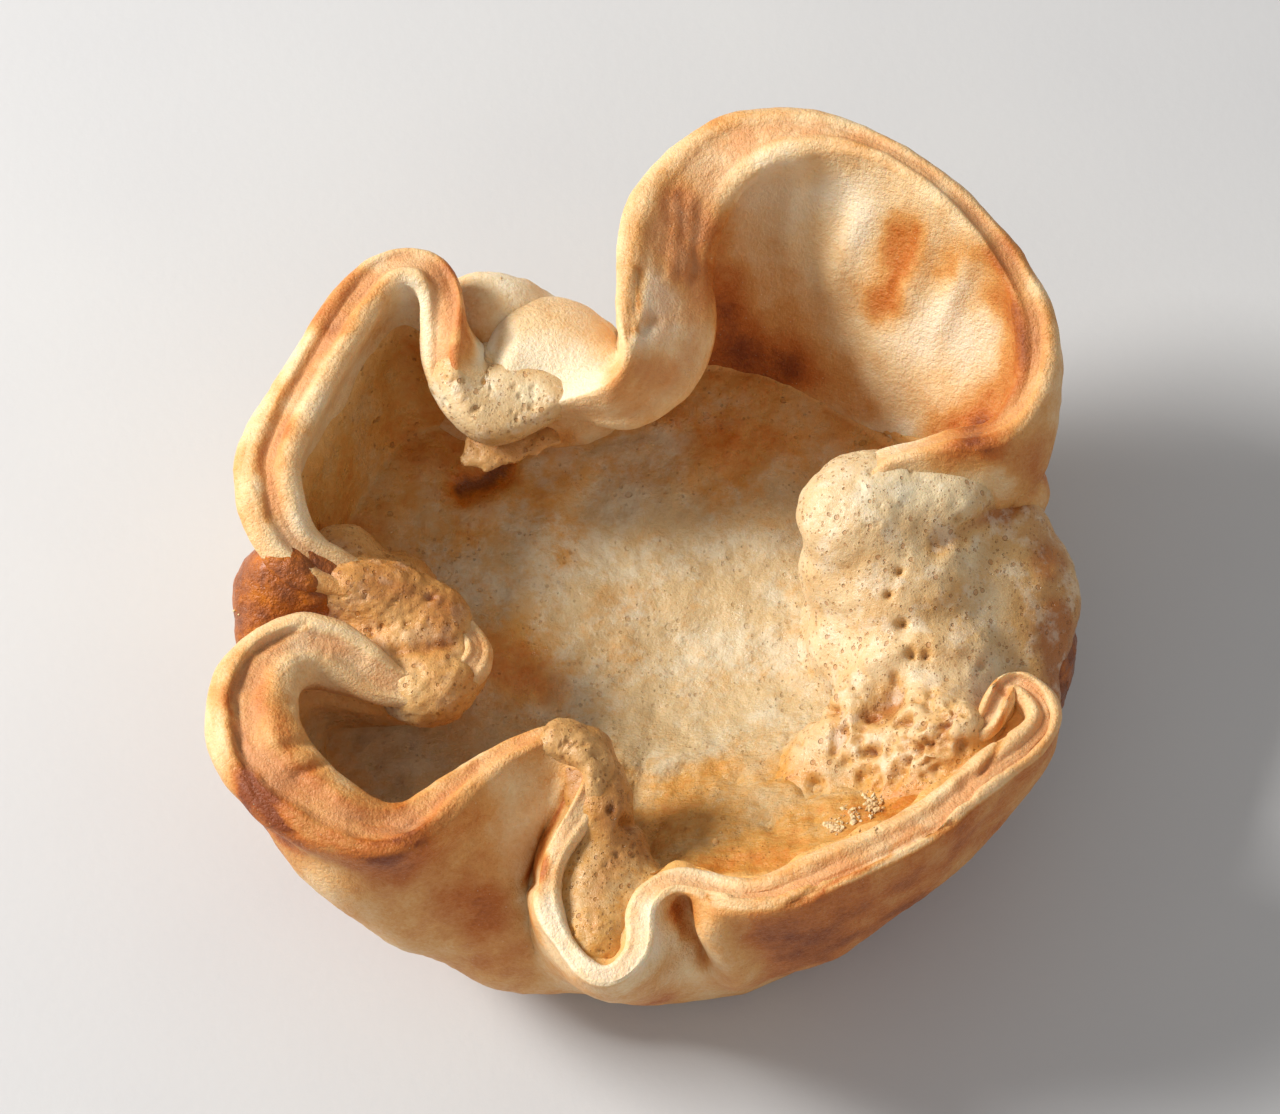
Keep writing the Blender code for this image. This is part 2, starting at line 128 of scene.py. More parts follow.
class Viewpoint:
    """Where the tart is looked at from: the front, 63 degrees above the table."""

    ELEVATION = math.radians(63)
    DISTANCE = 340.0
    TARGET = np.array([-1.287, 7.283, 15.0])
    OFFSET = np.array([-1.25, 12.917])  # the target as seen from the base's middle
    LENS = 114.75
    SENSOR = 36.0

    @classmethod
    def axes(cls) -> tuple[np.ndarray, np.ndarray, np.ndarray]:
        """Right, up and forward as seen from the viewpoint."""
        sine, cosine = math.sin(cls.ELEVATION), math.cos(cls.ELEVATION)
        return np.array([1.0, 0, 0]), np.array([0, sine, cosine]), np.array([0, cosine, -sine])

    @classmethod
    def place(cls) -> np.ndarray:
        """The camera's position."""
        return cls.TARGET - cls.axes()[2] * cls.DISTANCE

    @classmethod
    def seen(cls, points: np.ndarray) -> np.ndarray:
        """Where points show: mm to the right of and above the base's middle.

        Args:
            points: places in mm, coordinates last.

        Returns:
            Seen places in mm, in the plane of the target.
        """
        right, up, forward = cls.axes()
        away = points - cls.place()
        scale = cls.DISTANCE / (away @ forward)
        return np.stack([away @ right * scale, away @ up * scale], axis=-1) + cls.OFFSET

    @classmethod
    def sight(cls, seen: tuple) -> tuple[Vector, Vector]:
        """Start (in m) and way of the line of sight through a seen place.

        Args:
            seen: the seen place in mm.

        Returns:
            Start in m, and unit direction.
        """
        right, up, _ = cls.axes()
        start = cls.place()
        way = cls.TARGET + right * (seen[0] - cls.OFFSET[0]) + up * (seen[1] - cls.OFFSET[1]) - start
        return Vector(start * MM), Vector(way).normalized()

    @classmethod
    def add_camera(cls) -> None:
        """Makes the camera and gives it to the scene."""
        camera = bpy.data.objects.new("camera", bpy.data.cameras.new("camera"))
        bpy.context.scene.collection.objects.link(camera)
        camera.data.lens = cls.LENS
        camera.data.sensor_width = cls.SENSOR
        camera.data.clip_start = 0.01
        camera.data.clip_end = 10
        camera.location = Vector(cls.place() * MM)
        camera.rotation_euler = Vector(cls.axes()[2]).to_track_quat("-Z", "Y").to_euler()
        bpy.context.scene.camera = camera


# --- marks: browning, creases and ribs placed as they are seen ------------------------------
class Side(Enum):
    """The faces of the sheet of dough."""

    INSIDE = 0
    EDGE = 1
    OUTSIDE = 2


ALL_SIDES = tuple(Side)
INSIDE, EDGE, OUTSIDE = ((side,) for side in Side)


@dataclass(frozen=True)
class Mark:
    """A stroke across a surface, along a path in seen mm.

    half is its half width, lift its relief in mm, toast_and_shade how much browner it makes the
    surface, as browning on some marks and as painted shade on cracks, creases, pits and shaded
    places, sides the faces of the sheet that take it and flat how evenly it covers its width.
    """

    name: str
    path: tuple
    half: float
    lift: float = 0.0
    # browning, and painted shade on the marks of cracks, creases, pits and shaded places
    toast_and_shade: float = 0.0
    sides: tuple = ALL_SIDES
    flat: float = 1.0

    def weight(self, seen: np.ndarray) -> np.ndarray:
        """How strongly the stroke shows at seen places, 0 to 1.

        Args:
            seen: seen places in mm, coordinates last.

        Returns:
            One weight for every place.
        """
        points = np.array(self.path, float)
        if len(points) == 1:
            gap = np.hypot(*np.moveaxis(seen - points[0], -1, 0))
        else:
            gap = np.full(seen.shape[:-1], np.inf)
            for start, end in zip(points, points[1:]):
                along = end - start
                share = np.clip((seen - start) @ along / (along @ along), 0, 1)
                away = seen - start - share[..., None] * along
                gap = np.minimum(gap, np.hypot(away[..., 0], away[..., 1]))
        return np.exp(-((gap / self.half) ** (2 * self.flat)))


# --- the sheet of dough ---------------------------------------------------------------------
@dataclass(frozen=True)
class Fold:
    """One lobe or pleat of the rim. Sizes in mm, angles in degrees.

    path is the middle of the rim seen from above. foot is the bearing at which the fold meets
    the base. lean is positive where the sheet's edge tips inwards, belly pushes the wall out,
    flop is how far the edge lies folded over, bare is how much of the inner wall shows as plain
    pastry and level is where the filling meets that wall. groove is the depth of the band sunk
    into the edge, seat its place across the edge (-1 inside, 1 outside), broad its half width as
    a share, step how sharp the flake is that stands outside it and crown how far the edge is
    rounded up. stand keeps the wall upright for longer, coat is the filling's thickness on the
    wall and fade the distance in which it takes on its full colour.
    """

    name: str
    foot: float
    height: float
    lip: float
    lean: float
    path: tuple
    belly: float = 0.0
    flop: float = 0.0
    bare: float = 1.0
    level: float = 14.0
    groove: float = 0.5
    seat: float = 0.1
    broad: float = 0.45
    step: float = 0.2
    crown: float = 0.75
    stand: float = 0.0
    coat: float = 1.3
    fade: float = 3.0


FOLDS = (
    Fold("left pleat", 172, 20.5, 2.8, 32, flop=2, bare=0.3, level=14, groove=0.3,
         path=((-20.5, -8), (-16.5, -7), (-14.5, -4), (-18.5, -0.5), (-25, 1))),
    Fold("upper left lobe", 157, 27.5, 5.2, -12, belly=1.5, bare=2.6, level=13, groove=0.6, seat=-0.18,
         broad=0.36, coat=0.5, fade=7,
         path=((-29.4, 3), (-31.4, 7.5), (-30.9, 12), (-27, 20))),
    Fold("top of the upper left lobe", 138, 28.5, 3.9, -8, belly=1.3, bare=2, level=13, groove=0.4, seat=0.12,
         broad=0.5, coat=0.3, fade=7,
         path=((-24.4, 24.4), (-21.3, 27.3), (-18.2, 26.2), (-17.5, 21.5))),
    Fold("rear pleat", 106, 23.5, 3.2, 112, belly=0, flop=6, bare=0.3, stand=0.45, level=12, groove=0.25,
         seat=0.3, broad=0.65,
         path=((-16.8, 17.5), (-13.5, 14.5), (-8.5, 16.5), (-3.5, 16))),
    Fold("left arm of the tall lobe", 91, 28, 9.6, 28, flop=3, bare=18, level=12, groove=0.36, seat=-0.05,
         broad=0.66, crown=1.3, coat=-0.3, fade=8,
         path=((-0.5, 18), (1, 23), (1, 29))),
    Fold("tall lobe", 54, 32.5, 2.8, -14, bare=27, level=11.5, groove=0.4, seat=0, broad=0.4, coat=-0.5,
         fade=9,
         path=((2.4, 33.2), (5.6, 37), (11, 38.3), (17, 37), (23.2, 32.6), (28, 27.6), (31, 21.5),
               (30.5, 16))),
    Fold("right pleat", 16, 25.5, 3.6, 45, flop=4, bare=0.3, level=14, groove=0.2,
         path=((27.5, 12.5), (23, 12), (17.5, 10), (15.5, 6))),
    Fold("drowned side of the right pleat", -2, 17.5, 3, 20, flop=1, bare=0.3, level=15, groove=0.2,
         path=((17.5, 1), (19.5, -4.5), (22.2, -9.6))),
    Fold("curled tip", -16, 24.8, 2.4, 5, belly=0.5, level=20, groove=0.6, step=0.5,
         path=((26, -12), (28.2, -8.9), (30.6, -11.8))),
    Fold("right front lobe", -44, 26, 4.2, 20, belly=0.6, bare=0.6, level=23, groove=0.6, seat=0.2, step=1,
         path=((26, -17), (20, -22), (14, -25), (8.5, -27))),
    Fold("small front pleat", -83, 23.5, 3, 32, flop=1, bare=0.5, level=21.8, groove=0.4, step=0.6,
         path=((5, -26.5), (1.5, -25.5), (-1, -27.5))),
    Fold("spout", -98, 22.5, 2.1, -5, bare=0.5, level=21, groove=0.15,
         path=((-1.5, -31), (-4, -33), (-7, -30.5), (-8.5, -26.5), (-7.5, -22))),
    Fold("front pleat", -112, 24.5, 2.9, 42, belly=5.5, flop=4, bare=0.3, level=20, groove=0.3,
         path=((-5, -17), (-7, -13.5), (-11.5, -15))),
    Fold("lower left lobe", -147, 26.5, 7.6, -2, belly=3.6, bare=2, level=13, groove=0.75, seat=0.12,
         broad=0.3, step=1, crown=1.5, fade=9,
         path=((-15.5, -18), (-20.5, -21.8), (-26, -20.3), (-30.3, -16.3), (-31.8, -11.5), (-30.4, -7.3),
               (-27.5, -5.5), (-24, -6.5))),
)


def closed_spline(points: np.ndarray, knots: np.ndarray, at: np.ndarray) -> np.ndarray:
    """A smooth closed curve through points at the parameters knots, read at the values at.

    Args:
        points: the points in order.
        knots: their parameters, from 0 up to below 1.
        at: the parameters to read.

    Returns:
        One point for every value of at.
    """
    count = len(points)
    span = np.append(knots[1:], 1.0) - knots
    system = np.zeros((count, count))
    right = np.zeros(points.shape)
    for i in range(count):
        before, after = span[i - 1], span[i]
        system[i, i - 1] += before
        system[i, i] += 2 * (before + after)
        system[i, (i + 1) % count] += after
        right[i] = 6 * ((points[(i + 1) % count] - points[i]) / after - (points[i] - points[i - 1]) / before)
    bend = np.linalg.solve(system, right)
    cell = np.clip(np.searchsorted(knots, at, side="right") - 1, 0, count - 1)
    following = (cell + 1) % count
    width = span[cell][:, None]
    back = (knots[cell] + span[cell] - at)[:, None] / width
    ahead = (at - knots[cell])[:, None] / width
    straight = back * points[cell] + ahead * points[following]
    curve = (back**3 - back) * bend[cell] + (ahead**3 - ahead) * bend[following]
    return straight + curve * width**2 / 6


def closed_smooth(values: np.ndarray, reach: int) -> np.ndarray:
    """Averages a closed row of values over a window of +-reach samples, falling off softly.

    Args:
        values: one row, or one row of vectors.
        reach: half the window, in samples.

    Returns:
        The averaged row, in the same shape.
    """
    window = np.hanning(2 * reach + 3)[1:-1]
    window /= window.sum()
    padded = np.concatenate([values[-reach:], values, values[:reach]])
    if values.ndim == 1:
        return np.convolve(padded, window, "valid")
    return np.stack([np.convolve(column, window, "valid") for column in padded.T], axis=1)


class Rim:
    """The path of the sheet's edge, and the values of its folds along it."""

    FINE = 6000  # samples from which the even columns are read
    CHORD_POWER = 0.5  # spacing of the knots, so that tight bends don't overshoot
    FOOT_WINDOW = 36

    def __init__(self, count: int) -> None:
        """Samples the path evenly.

        Args:
            count: how many columns there are.
        """
        self.count = count
        points = np.array([point for fold in FOLDS for point in fold.path], float)
        chord = np.linalg.norm(np.roll(points, -1, axis=0) - points, axis=1) ** self.CHORD_POWER
        knots = np.concatenate([[0], np.cumsum(chord)[:-1]]) / chord.sum()
        fine = np.linspace(0, 1, self.FINE, endpoint=False)
        curve = closed_spline(points, knots, fine)
        step = np.linalg.norm(np.roll(curve, -1, axis=0) - curve, axis=1)
        travelled = np.concatenate([[0], np.cumsum(step)])
        length = travelled[-1]
        wanted = np.interp(np.linspace(0, length, count, endpoint=False), travelled, np.append(fine, 1))
        middles, first = [], 0
        for fold in FOLDS:
            last = first + len(fold.path) - 1
            middles.append((knots[first] + knots[last]) / 2)
            first = last + 1
        self.shares = np.interp(middles, np.append(fine, 1), travelled / length)
        self.plan = closed_spline(points, knots, wanted)

    def value(self, field: str) -> np.ndarray:
        """A fold's named value in every column, eased from each fold's middle to the next.

        Args:
            field: name of a field of Fold.

        Returns:
            One value for every column.
        """
        values = np.tile(np.array([getattr(fold, field) for fold in FOLDS], float), 3)
        places = np.concatenate([self.shares - 1, self.shares, self.shares + 1])
        at = np.arange(self.count) / self.count
        cell = np.searchsorted(places, at, side="right") - 1
        share = ease(at, places[cell], places[cell + 1])
        return values[cell] * (1 - share) + values[cell + 1] * share

    def feet(self) -> np.ndarray:
        """Bearing at which each column meets the base, running once round, evenly eased.

        Returns:
            Bearings in radians, one for every column.
        """
        feet = np.degrees(np.unwrap(np.radians([fold.foot for fold in FOLDS])))
        places = np.concatenate([self.shares - 1, self.shares, self.shares + 1])
        feet = np.concatenate([feet + 360, feet, feet - 360])
        plain = np.interp(np.arange(self.count) / self.count, places, feet)
        steps = closed_smooth(np.diff(np.append(plain, plain[0] - 360)), self.count // self.FOOT_WINDOW)
        steps *= -360 / steps.sum()
        eased = np.concatenate([[0], np.cumsum(steps)[:-1]])
        return np.radians(eased + np.mean(plain - eased))


def grid_normals(rows: np.ndarray) -> np.ndarray:
    """Unit vectors across a grid of rows that run round, all to one side of it.

    Args:
        rows: the grid, rows first, then columns, then coordinates.

    Returns:
        The unit vectors, in the same shape.
    """
    along = np.roll(rows, -1, axis=1) - np.roll(rows, 1, axis=1)
    normal = np.cross(along, np.gradient(rows, axis=0))
    return normal / (np.linalg.norm(normal, axis=2)[..., None] + 1e-12)


class Sheet:
    """The dough's middle surface and thickness: rows from the rim (0) to the base, columns round."""

    DOUGH = 2.9
    BASE_RADIUS = 27.6
    CORNER_RADIUS = 3.0
    CUP_SLOPE = math.radians(20)
    LIP_FADE = 4.5  # way down in which the lip's width becomes the dough's
    WALL_ROWS = 90
    CORNER_ROWS = 14
    UPRIGHT = 0.45  # share of the height for which the wall keeps the cup's slope
    UPRIGHT_LIMITS = (0.18, 0.55)
    DRAWN_IN_LOSS = 0.018  # of that share, for each mm that the rim is drawn in
    FLOP_GAIN = 0.04
    UPPER_SHARE = 0.3  # of the height, in which the wall turns into the rim's lean
    WALL_WINDOW = 40  # the round over this is the reach of the smoothing from column to column
    DOUGH_WINDOW = 180
    ROUND, SQUARE = 2.6, 0.6  # powers of the edge's rounded section

    def __init__(self, count: int) -> None:
        """Lays the sheet.

        Args:
            count: how many columns it has.
        """
        self.rim_path = Rim(count)
        self.count = count
        self.bare = self.rim_path.value("bare")
        self.level = self.rim_path.value("level")
        self.lip = self.rim_path.value("lip")
        self.rim = np.column_stack([self.rim_path.plan, self.rim_path.value("height")])
        self.lay_rim(np.radians(self.rim_path.value("lean")))
        self.lay_wall(self.rim_path.feet(), self.rim_path.value("belly"), self.rim_path.value("flop"))
        self.lay_thickness()

    def lay_rim(self, lean: np.ndarray) -> None:
        """Half the lip's width as a vector across the edge, and the way in which the edge points.

        Args:
            lean: how far the edge tips inwards in every column, in radians.
        """
        ahead = np.roll(self.rim, -1, axis=0) - np.roll(self.rim, 1, axis=0)
        out = np.column_stack([-ahead[:, 1], ahead[:, 0], np.zeros(self.count)])
        out /= np.linalg.norm(out, axis=1)[:, None]
        rise = np.array([0, 0, 1.0])
        sine, cosine = np.sin(lean)[:, None], np.cos(lean)[:, None]
        self.half_lip = (out * cosine + rise * sine) * self.lip[:, None] / 2
        self.edge_way = rise * cosine - out * sine

    def lay_wall(self, foot: np.ndarray, belly: np.ndarray, flop: np.ndarray) -> None:
        """Wall as a cubic curve in each column, then the bend into the base.

        Args:
            foot: bearing of every column at the base, in radians.
            belly: how far the wall is pushed out.
            flop: how far the edge lies folded over.
        """
        slope = self.CUP_SLOPE
        rise = np.array([0, 0, 1.0])
        spoke = np.column_stack([np.cos(foot), np.sin(foot), np.zeros(self.count)])
        bend_middle = self.BASE_RADIUS - self.DOUGH / 2 - self.CORNER_RADIUS * math.cos(slope)
        bend_height = self.DOUGH / 2 + self.CORNER_RADIUS
        start = spoke * (bend_middle + self.CORNER_RADIUS * math.cos(slope))
        start += rise * (bend_height - self.CORNER_RADIUS * math.sin(slope))
        height = self.rim[:, 2]
        drawn_in = self.BASE_RADIUS + height * math.tan(slope) - np.hypot(self.rim[:, 0], self.rim[:, 1])
        upright = self.UPRIGHT - self.DRAWN_IN_LOSS * np.clip(drawn_in, 0, None) + self.FLOP_GAIN * flop
        upright = np.clip(upright, *self.UPRIGHT_LIMITS)
        upright = height * (upright + self.rim_path.value("stand"))
        lower = start + (spoke * math.sin(slope) + rise * math.cos(slope)) * upright[:, None]
        upper = self.rim - self.edge_way * (self.UPPER_SHARE * height + flop)[:, None]
        lower = closed_smooth(lower + spoke * belly[:, None], self.count // self.WALL_WINDOW)
        upper = closed_smooth(upper + spoke * belly[:, None], self.count // self.WALL_WINDOW)
        rows = []
        for up in np.linspace(1, 0, self.WALL_ROWS):
            down = 1 - up
            rows.append(start * down**3 + lower * (3 * up * down**2) + upper * (3 * up**2 * down)
                        + self.rim * up**3)
        for turn in np.linspace(-slope, -math.pi / 2, self.CORNER_ROWS + 1)[1:]:
            rows.append(spoke * (bend_middle + self.CORNER_RADIUS * math.cos(turn))
                        + rise * (bend_height + self.CORNER_RADIUS * math.sin(turn)))
        self.middle = np.array(rows)

    def lay_thickness(self) -> None:
        """Half the dough's thickness as a vector at every point, pointing out of the bowl."""
        normal = grid_normals(self.middle)
        normal *= np.sign(np.sum(normal[8] * self.half_lip))
        step = np.linalg.norm(np.diff(self.middle, axis=0), axis=2)
        self.depth = np.concatenate([np.zeros((1, self.count)), np.cumsum(step, axis=0)])
        plain = ease(self.depth, 0, self.LIP_FADE)[..., None]
        half = self.half_lip * (1 - plain) + normal * (plain * self.DOUGH / 2)
        reach = max(2, self.count // self.DOUGH_WINDOW)
        self.half = np.array([closed_smooth(row, reach) for row in half])

    @staticmethod
    def edge_places(count: int) -> list[float]:
        """Places across the edge, from near -1 at the inside to near 1 at the outside."""
        return [-1 + 2 * (k + 0.5) / count for k in range(count)]

    def crown(self, place: float) -> np.ndarray:
        """How far the rounded edge stands up at a place across it, in every column."""
        return self.rim_path.value("crown") * (1 - abs(place) ** self.ROUND) ** self.SQUARE

    def row_at(self, depth: np.ndarray) -> np.ndarray:
        """The (fractional) row that lies a given way down from the rim, in every column."""
        return self.row_where(self.depth, depth)

    @staticmethod
    def row_where(rising: np.ndarray, wanted: np.ndarray) -> np.ndarray:
        """For each column, the (fractional) row at which a rising value gets to wanted.

        Args:
            rising: the value at every row and column, rising down the rows.
            wanted: the value to find in each column.

        Returns:
            One row for every column.
        """
        wanted = np.minimum(wanted, rising[-1] - 1e-6)
        reached = np.clip(np.argmax(rising >= wanted, axis=0), 1, None)
        columns = np.arange(rising.shape[1])
        before, after = rising[reached - 1, columns], rising[reached, columns]
        return reached - 1 + np.clip((wanted - before) / (after - before + 1e-9), 0, 1)

    def plain_rows(self, inside: np.ndarray, edge: int, outside: np.ndarray) -> np.ndarray:
        """The sheet's faces without the groove, from depths inside, over the edge, to outside.

        Args:
            inside: depths of the rows on the inner face.
            edge: how many rows run over the edge.
            outside: depths of the rows on the outer face.

        Returns:
            The rows of points.
        """
        inner, outer = self.middle - self.half, self.middle + self.half
        rows = [self.read(inner, self.row_at(np.full(self.count, depth))) for depth in inside]
        for place in self.edge_places(edge):
            rows.append(self.rim + self.half[0] * place + self.edge_way * self.crown(place)[:, None])
        rows += [self.read(outer, self.row_at(np.full(self.count, depth))) for depth in outside]
        return np.array(rows)

    def read(self, surface: np.ndarray, row: np.ndarray) -> np.ndarray:
        """Surface points at rows that need not be whole numbers.

        Args:
            surface: rows of points.
            row: the row to read in each column.

        Returns:
            One point for every column.
        """
        low = np.clip(np.floor(row).astype(int), 0, len(surface) - 2)
        share = (row - low)[:, None]
        columns = np.arange(self.count)
        return surface[low, columns] * (1 - share) + surface[low + 1, columns] * share


# --- meshes ---------------------------------------------------------------------------------
def add_mesh(name: str, points: np.ndarray, faces: list) -> bpy.types.Object:
    """A new object in the scene, its mesh made of points in mm.

    Args:
        name: name of the object and its mesh.
        points: its points.
        faces: its faces, as indices of points.

    Returns:
        The object.
    """
    mesh = bpy.data.meshes.new(name)
    mesh.from_pydata((points * MM).tolist(), [], faces)
    obj = bpy.data.objects.new(name, mesh)
    bpy.context.scene.collection.objects.link(obj)
    return obj


def store(mesh: bpy.types.Mesh, name: str, values: np.ndarray) -> None:
    """Gives every point of a mesh a value, which its material reads by name."""
    mesh.attributes.new(name, "FLOAT", "POINT").data.foreach_set("value", values.astype(np.float32))


def join(parts: list, onto: bpy.types.Object, name: str) -> bpy.types.Object:
    """Joins objects onto one of them, and moves its place, turn and size into its mesh.

    Args:
        parts: the objects.
        onto: the one that the others are joined onto.
        name: name of the result.

    Returns:
        The joined object.
    """
    for part in parts:
        part.select_set(True)
    bpy.context.view_layer.objects.active = onto
    if len(parts) > 1:
        bpy.ops.object.join()
    obj = bpy.context.object
    obj.name = name
    bpy.ops.object.transform_apply(location=True, rotation=True, scale=True)
    return obj


def flat_row(row: np.ndarray, share: float, height: float) -> np.ndarray:
    """A row drawn in towards the middle of the base at one height."""
    return np.column_stack([row[:, :2] * share, np.full(len(row), height)])


# --- skins: closed grids of rows that run round ---------------------------------------------
class Skin:
    """A closed surface of rows that run round, with a point at either end, and its attributes."""

    def __init__(self, rows: np.ndarray, **attributes: np.ndarray) -> None:
        """Takes the rows, and one value per point for every attribute."""
        self.rows = rows
        self.attributes = attributes

    def normals(self) -> np.ndarray:
        """Unit vectors out of the surface.

        Returns:
            One unit vector for every point.
        """
        normal = grid_normals(self.rows)
        return normal * np.sign(np.sum(self.rows * normal))

    def lift(self, amount: np.ndarray) -> None:
        """Moves every point out by an amount in mm."""
        self.rows = self.rows + self.normals() * amount[..., None]

    def build(self, name: str) -> bpy.types.Object:
        """The mesh object, faces outwards.

        Args:
            name: name of the object.

        Returns:
            The object.
        """
        count, width, _ = self.rows.shape
        index = np.arange(count * width).reshape(count, width)
        ahead = np.roll(index, -1, axis=1)
        quads = np.stack([index[:-1], ahead[:-1], ahead[1:], index[1:]], axis=-1).reshape(-1, 4)
        first, last = count * width, count * width + 1
        top = np.column_stack([np.full(width, first), ahead[0], index[0]])
        bottom = np.column_stack([np.full(width, last), index[-1], ahead[-1]])
        points = np.vstack([self.rows.reshape(-1, 3), self.rows[0].mean(axis=0), self.rows[-1].mean(axis=0)])
        faces = quads.tolist() + top.tolist() + bottom.tolist()
        a, b, c = points[quads[:, 0]], points[quads[:, 1]], points[quads[:, 2]]
        if np.sum(a * np.cross(b - a, c - a)) < 0:
            faces = [face[::-1] for face in faces]
        obj = add_mesh(name, points, faces)
        for key, values in self.attributes.items():
            store(obj.data, key, np.append(values.ravel(), [values[0].mean(), values[-1].mean()]))
        obj.data.shade_smooth()
        return obj


def dent(tree: KDTree, count: int, centres: np.ndarray, radii: np.ndarray, depth: float) -> np.ndarray:
    """Relief of round pores, each with a low lip around it.

    Args:
        tree: the points, in order.
        count: how many they are.
        centres: middles of the pores.
        radii: their radii.
        depth: how deep a pore is, as a share of its radius.

    Returns:
        How far each of the points is moved, in mm, below 0 in a pore.
    """
    lip_reach, lip_height = 1.35, 0.1
    moved = np.zeros(count)
    for centre, radius in zip(centres, radii):
        for _, i, gap in tree.find_range(centre, radius * lip_reach):
            share = gap / radius
            if share < 1:
                moved[i] = min(moved[i], -depth * radius * math.sqrt(1 - share * share))
            elif moved[i] >= 0:
                moved[i] = max(moved[i], lip_height * radius * (lip_reach - share))
    return moved


# --- finishes -------------------------------------------------------------------------------
class Graph:
    """Node tree of a new material, with short ways to add to it."""

    def __init__(self, name: str) -> None:
        """Makes the material with its Principled shader.

        Args:
            name: name of the material.
        """
        self.material = bpy.data.materials.new(name)
        self.material.use_nodes = True
        self.tree = self.material.node_tree
        self.shader = self.tree.nodes["Principled BSDF"]
        where = self.add("ShaderNodeTexCoord")
        self.place = self.math("SCALE", where.outputs["Object"], Scale=1000.0, kind="ShaderNodeVectorMath")

    def add(self, kind: str, **settings: object) -> bpy.types.Node:
        """A new node with its properties set.

        Args:
            kind: type of the node.
            **settings: its properties.

        Returns:
            The node.
        """
        node = self.tree.nodes.new(kind)
        for key, value in settings.items():
            setattr(node, key, value)
        return node

    def put(self, socket: bpy.types.NodeSocket, value: object) -> None:
        """Links a socket to the input, or sets its value.

        Args:
            socket: an input.
            value: a socket, or a plain value.
        """
        if isinstance(value, bpy.types.NodeSocket):
            self.tree.links.new(value, socket)
        else:
            socket.default_value = value

    def math(self, operation: str, *values: object, kind: str = "ShaderNodeMath",
             **named: object) -> bpy.types.NodeSocket:
        """The result of a sum of up to three values.

        Args:
            operation: name of the sum.
            *values: its inputs in order, sockets or numbers.
            kind: type of the node.
            **named: inputs by name.

        Returns:
            Its first output.
        """
        node = self.add(kind, operation=operation)
        for socket, value in zip(node.inputs, values):
            self.put(socket, value)
        for key, value in named.items():
            self.put(node.inputs[key], value)
        return node.outputs[0]

    def stir(self, amount: object, field: object, weight: object) -> bpy.types.NodeSocket:
        """An amount moved up and down by a field of 0 to 1."""
        return self.math("ADD", amount, self.math("MULTIPLY", self.math("SUBTRACT", field, 0.5), weight))

    def attribute(self, name: str) -> bpy.types.NodeSocket:
        """One of the piece's own values."""
        return self.add("ShaderNodeAttribute", attribute_name=name).outputs["Fac"]

    def noise(self, scale: float, detail: float = 3.0, rough: float = 0.55,
              place: object = None) -> bpy.types.NodeSocket:
        """Soft noise, 0 to 1, with scale lumps to a mm.

        Args:
            scale: lumps to a mm.
            detail: how many finer layers it has.
            rough: how strong they are.
            place: where it is read, or None for the place on the piece.

        Returns:
            The value.
        """
        node = self.add("ShaderNodeTexNoise")
        self.put(node.inputs["Vector"], place or self.place)
        node.inputs["Scale"].default_value = scale
        node.inputs["Detail"].default_value = detail
        node.inputs["Roughness"].default_value = rough
        return node.outputs["Fac"]

    def axes(self) -> tuple:
        """The place on the piece as X, Y and Z in mm.

        Returns:
            The three sockets.
        """
        node = self.add("ShaderNodeSeparateXYZ")
        self.put(node.inputs[0], self.place)
        return tuple(node.outputs)

    def drawn(self, values: tuple, shares: tuple) -> bpy.types.NodeSocket:
        """A place for a texture, its three values drawn out or squeezed.

        Args:
            values: three sockets.
            shares: the factor of each.

        Returns:
            The place.
        """
        node = self.add("ShaderNodeCombineXYZ")
        for socket, value, share in zip(node.inputs, values, shares):
            self.put(socket, self.math("MULTIPLY", value, share))
        return node.outputs[0]

    def pores(self, scale: float, largest: float = 0.36) -> bpy.types.NodeSocket:
        """1 inside scattered round pores of mixed sizes, 0 between them.

        Args:
            scale: cells to a mm.
            largest: radius of the largest pore, as a share of a cell.

        Returns:
            The value.
        """
        node = self.add("ShaderNodeTexVoronoi", feature="F1")
        self.put(node.inputs["Vector"], self.place)
        node.inputs["Scale"].default_value = scale
        apart = self.add("ShaderNodeSeparateColor")
        self.put(apart.inputs[0], node.outputs["Color"])
        size = self.math("MULTIPLY", self.math("POWER", apart.outputs[0], 2.5), largest)
        return self.span(self.math("SUBTRACT", node.outputs["Distance"], size), -0.05, 0.04, 1.0, 0.0)

    def span(self, value: object, low: float, high: float, start: float = 0.0,
             end: float = 1.0) -> bpy.types.NodeSocket:
        """Value from low..high stretched onto start..end, and held there.

        Args:
            value: a socket or a number.
            low: where the stretch starts.
            high: where it ends.
            start: the result at low.
            end: the result at high.

        Returns:
            The result.
        """
        node = self.add("ShaderNodeMapRange", clamp=True, interpolation_type="SMOOTHSTEP")
        for key, given in (("Value", value), ("From Min", low), ("From Max", high),
                           ("To Min", start), ("To Max", end)):
            self.put(node.inputs[key], given)
        return node.outputs[0]

    def ramp(self, value: object, *stops: tuple) -> bpy.types.NodeSocket:
        """Colours by value: stops are (place, colour).

        Args:
            value: what the colours follow.
            *stops: pairs of a place and a colour, in order.

        Returns:
            The colour.
        """
        node = self.add("ShaderNodeValToRGB")
        elements = node.color_ramp.elements
        while len(elements) < len(stops):
            elements.new(0.5)
        for element, (place, colour) in zip(elements, stops):
            element.position = place
            element.color = colour
        self.put(node.inputs["Fac"], value)
        return node.outputs["Color"]

    def mix(self, share: object, one: object, two: object, blend: str = "MIX") -> bpy.types.NodeSocket:
        """One colour laid over another.

        Args:
            share: how much of the second shows.
            one: the colour below.
            two: the colour above.
            blend: how they are mixed.

        Returns:
            The colour.
        """
        node = self.add("ShaderNodeMix", data_type="RGBA", blend_type=blend)
        self.put(node.inputs[0], share)
        self.put(node.inputs[6], one)
        self.put(node.inputs[7], two)
        return node.outputs[2]

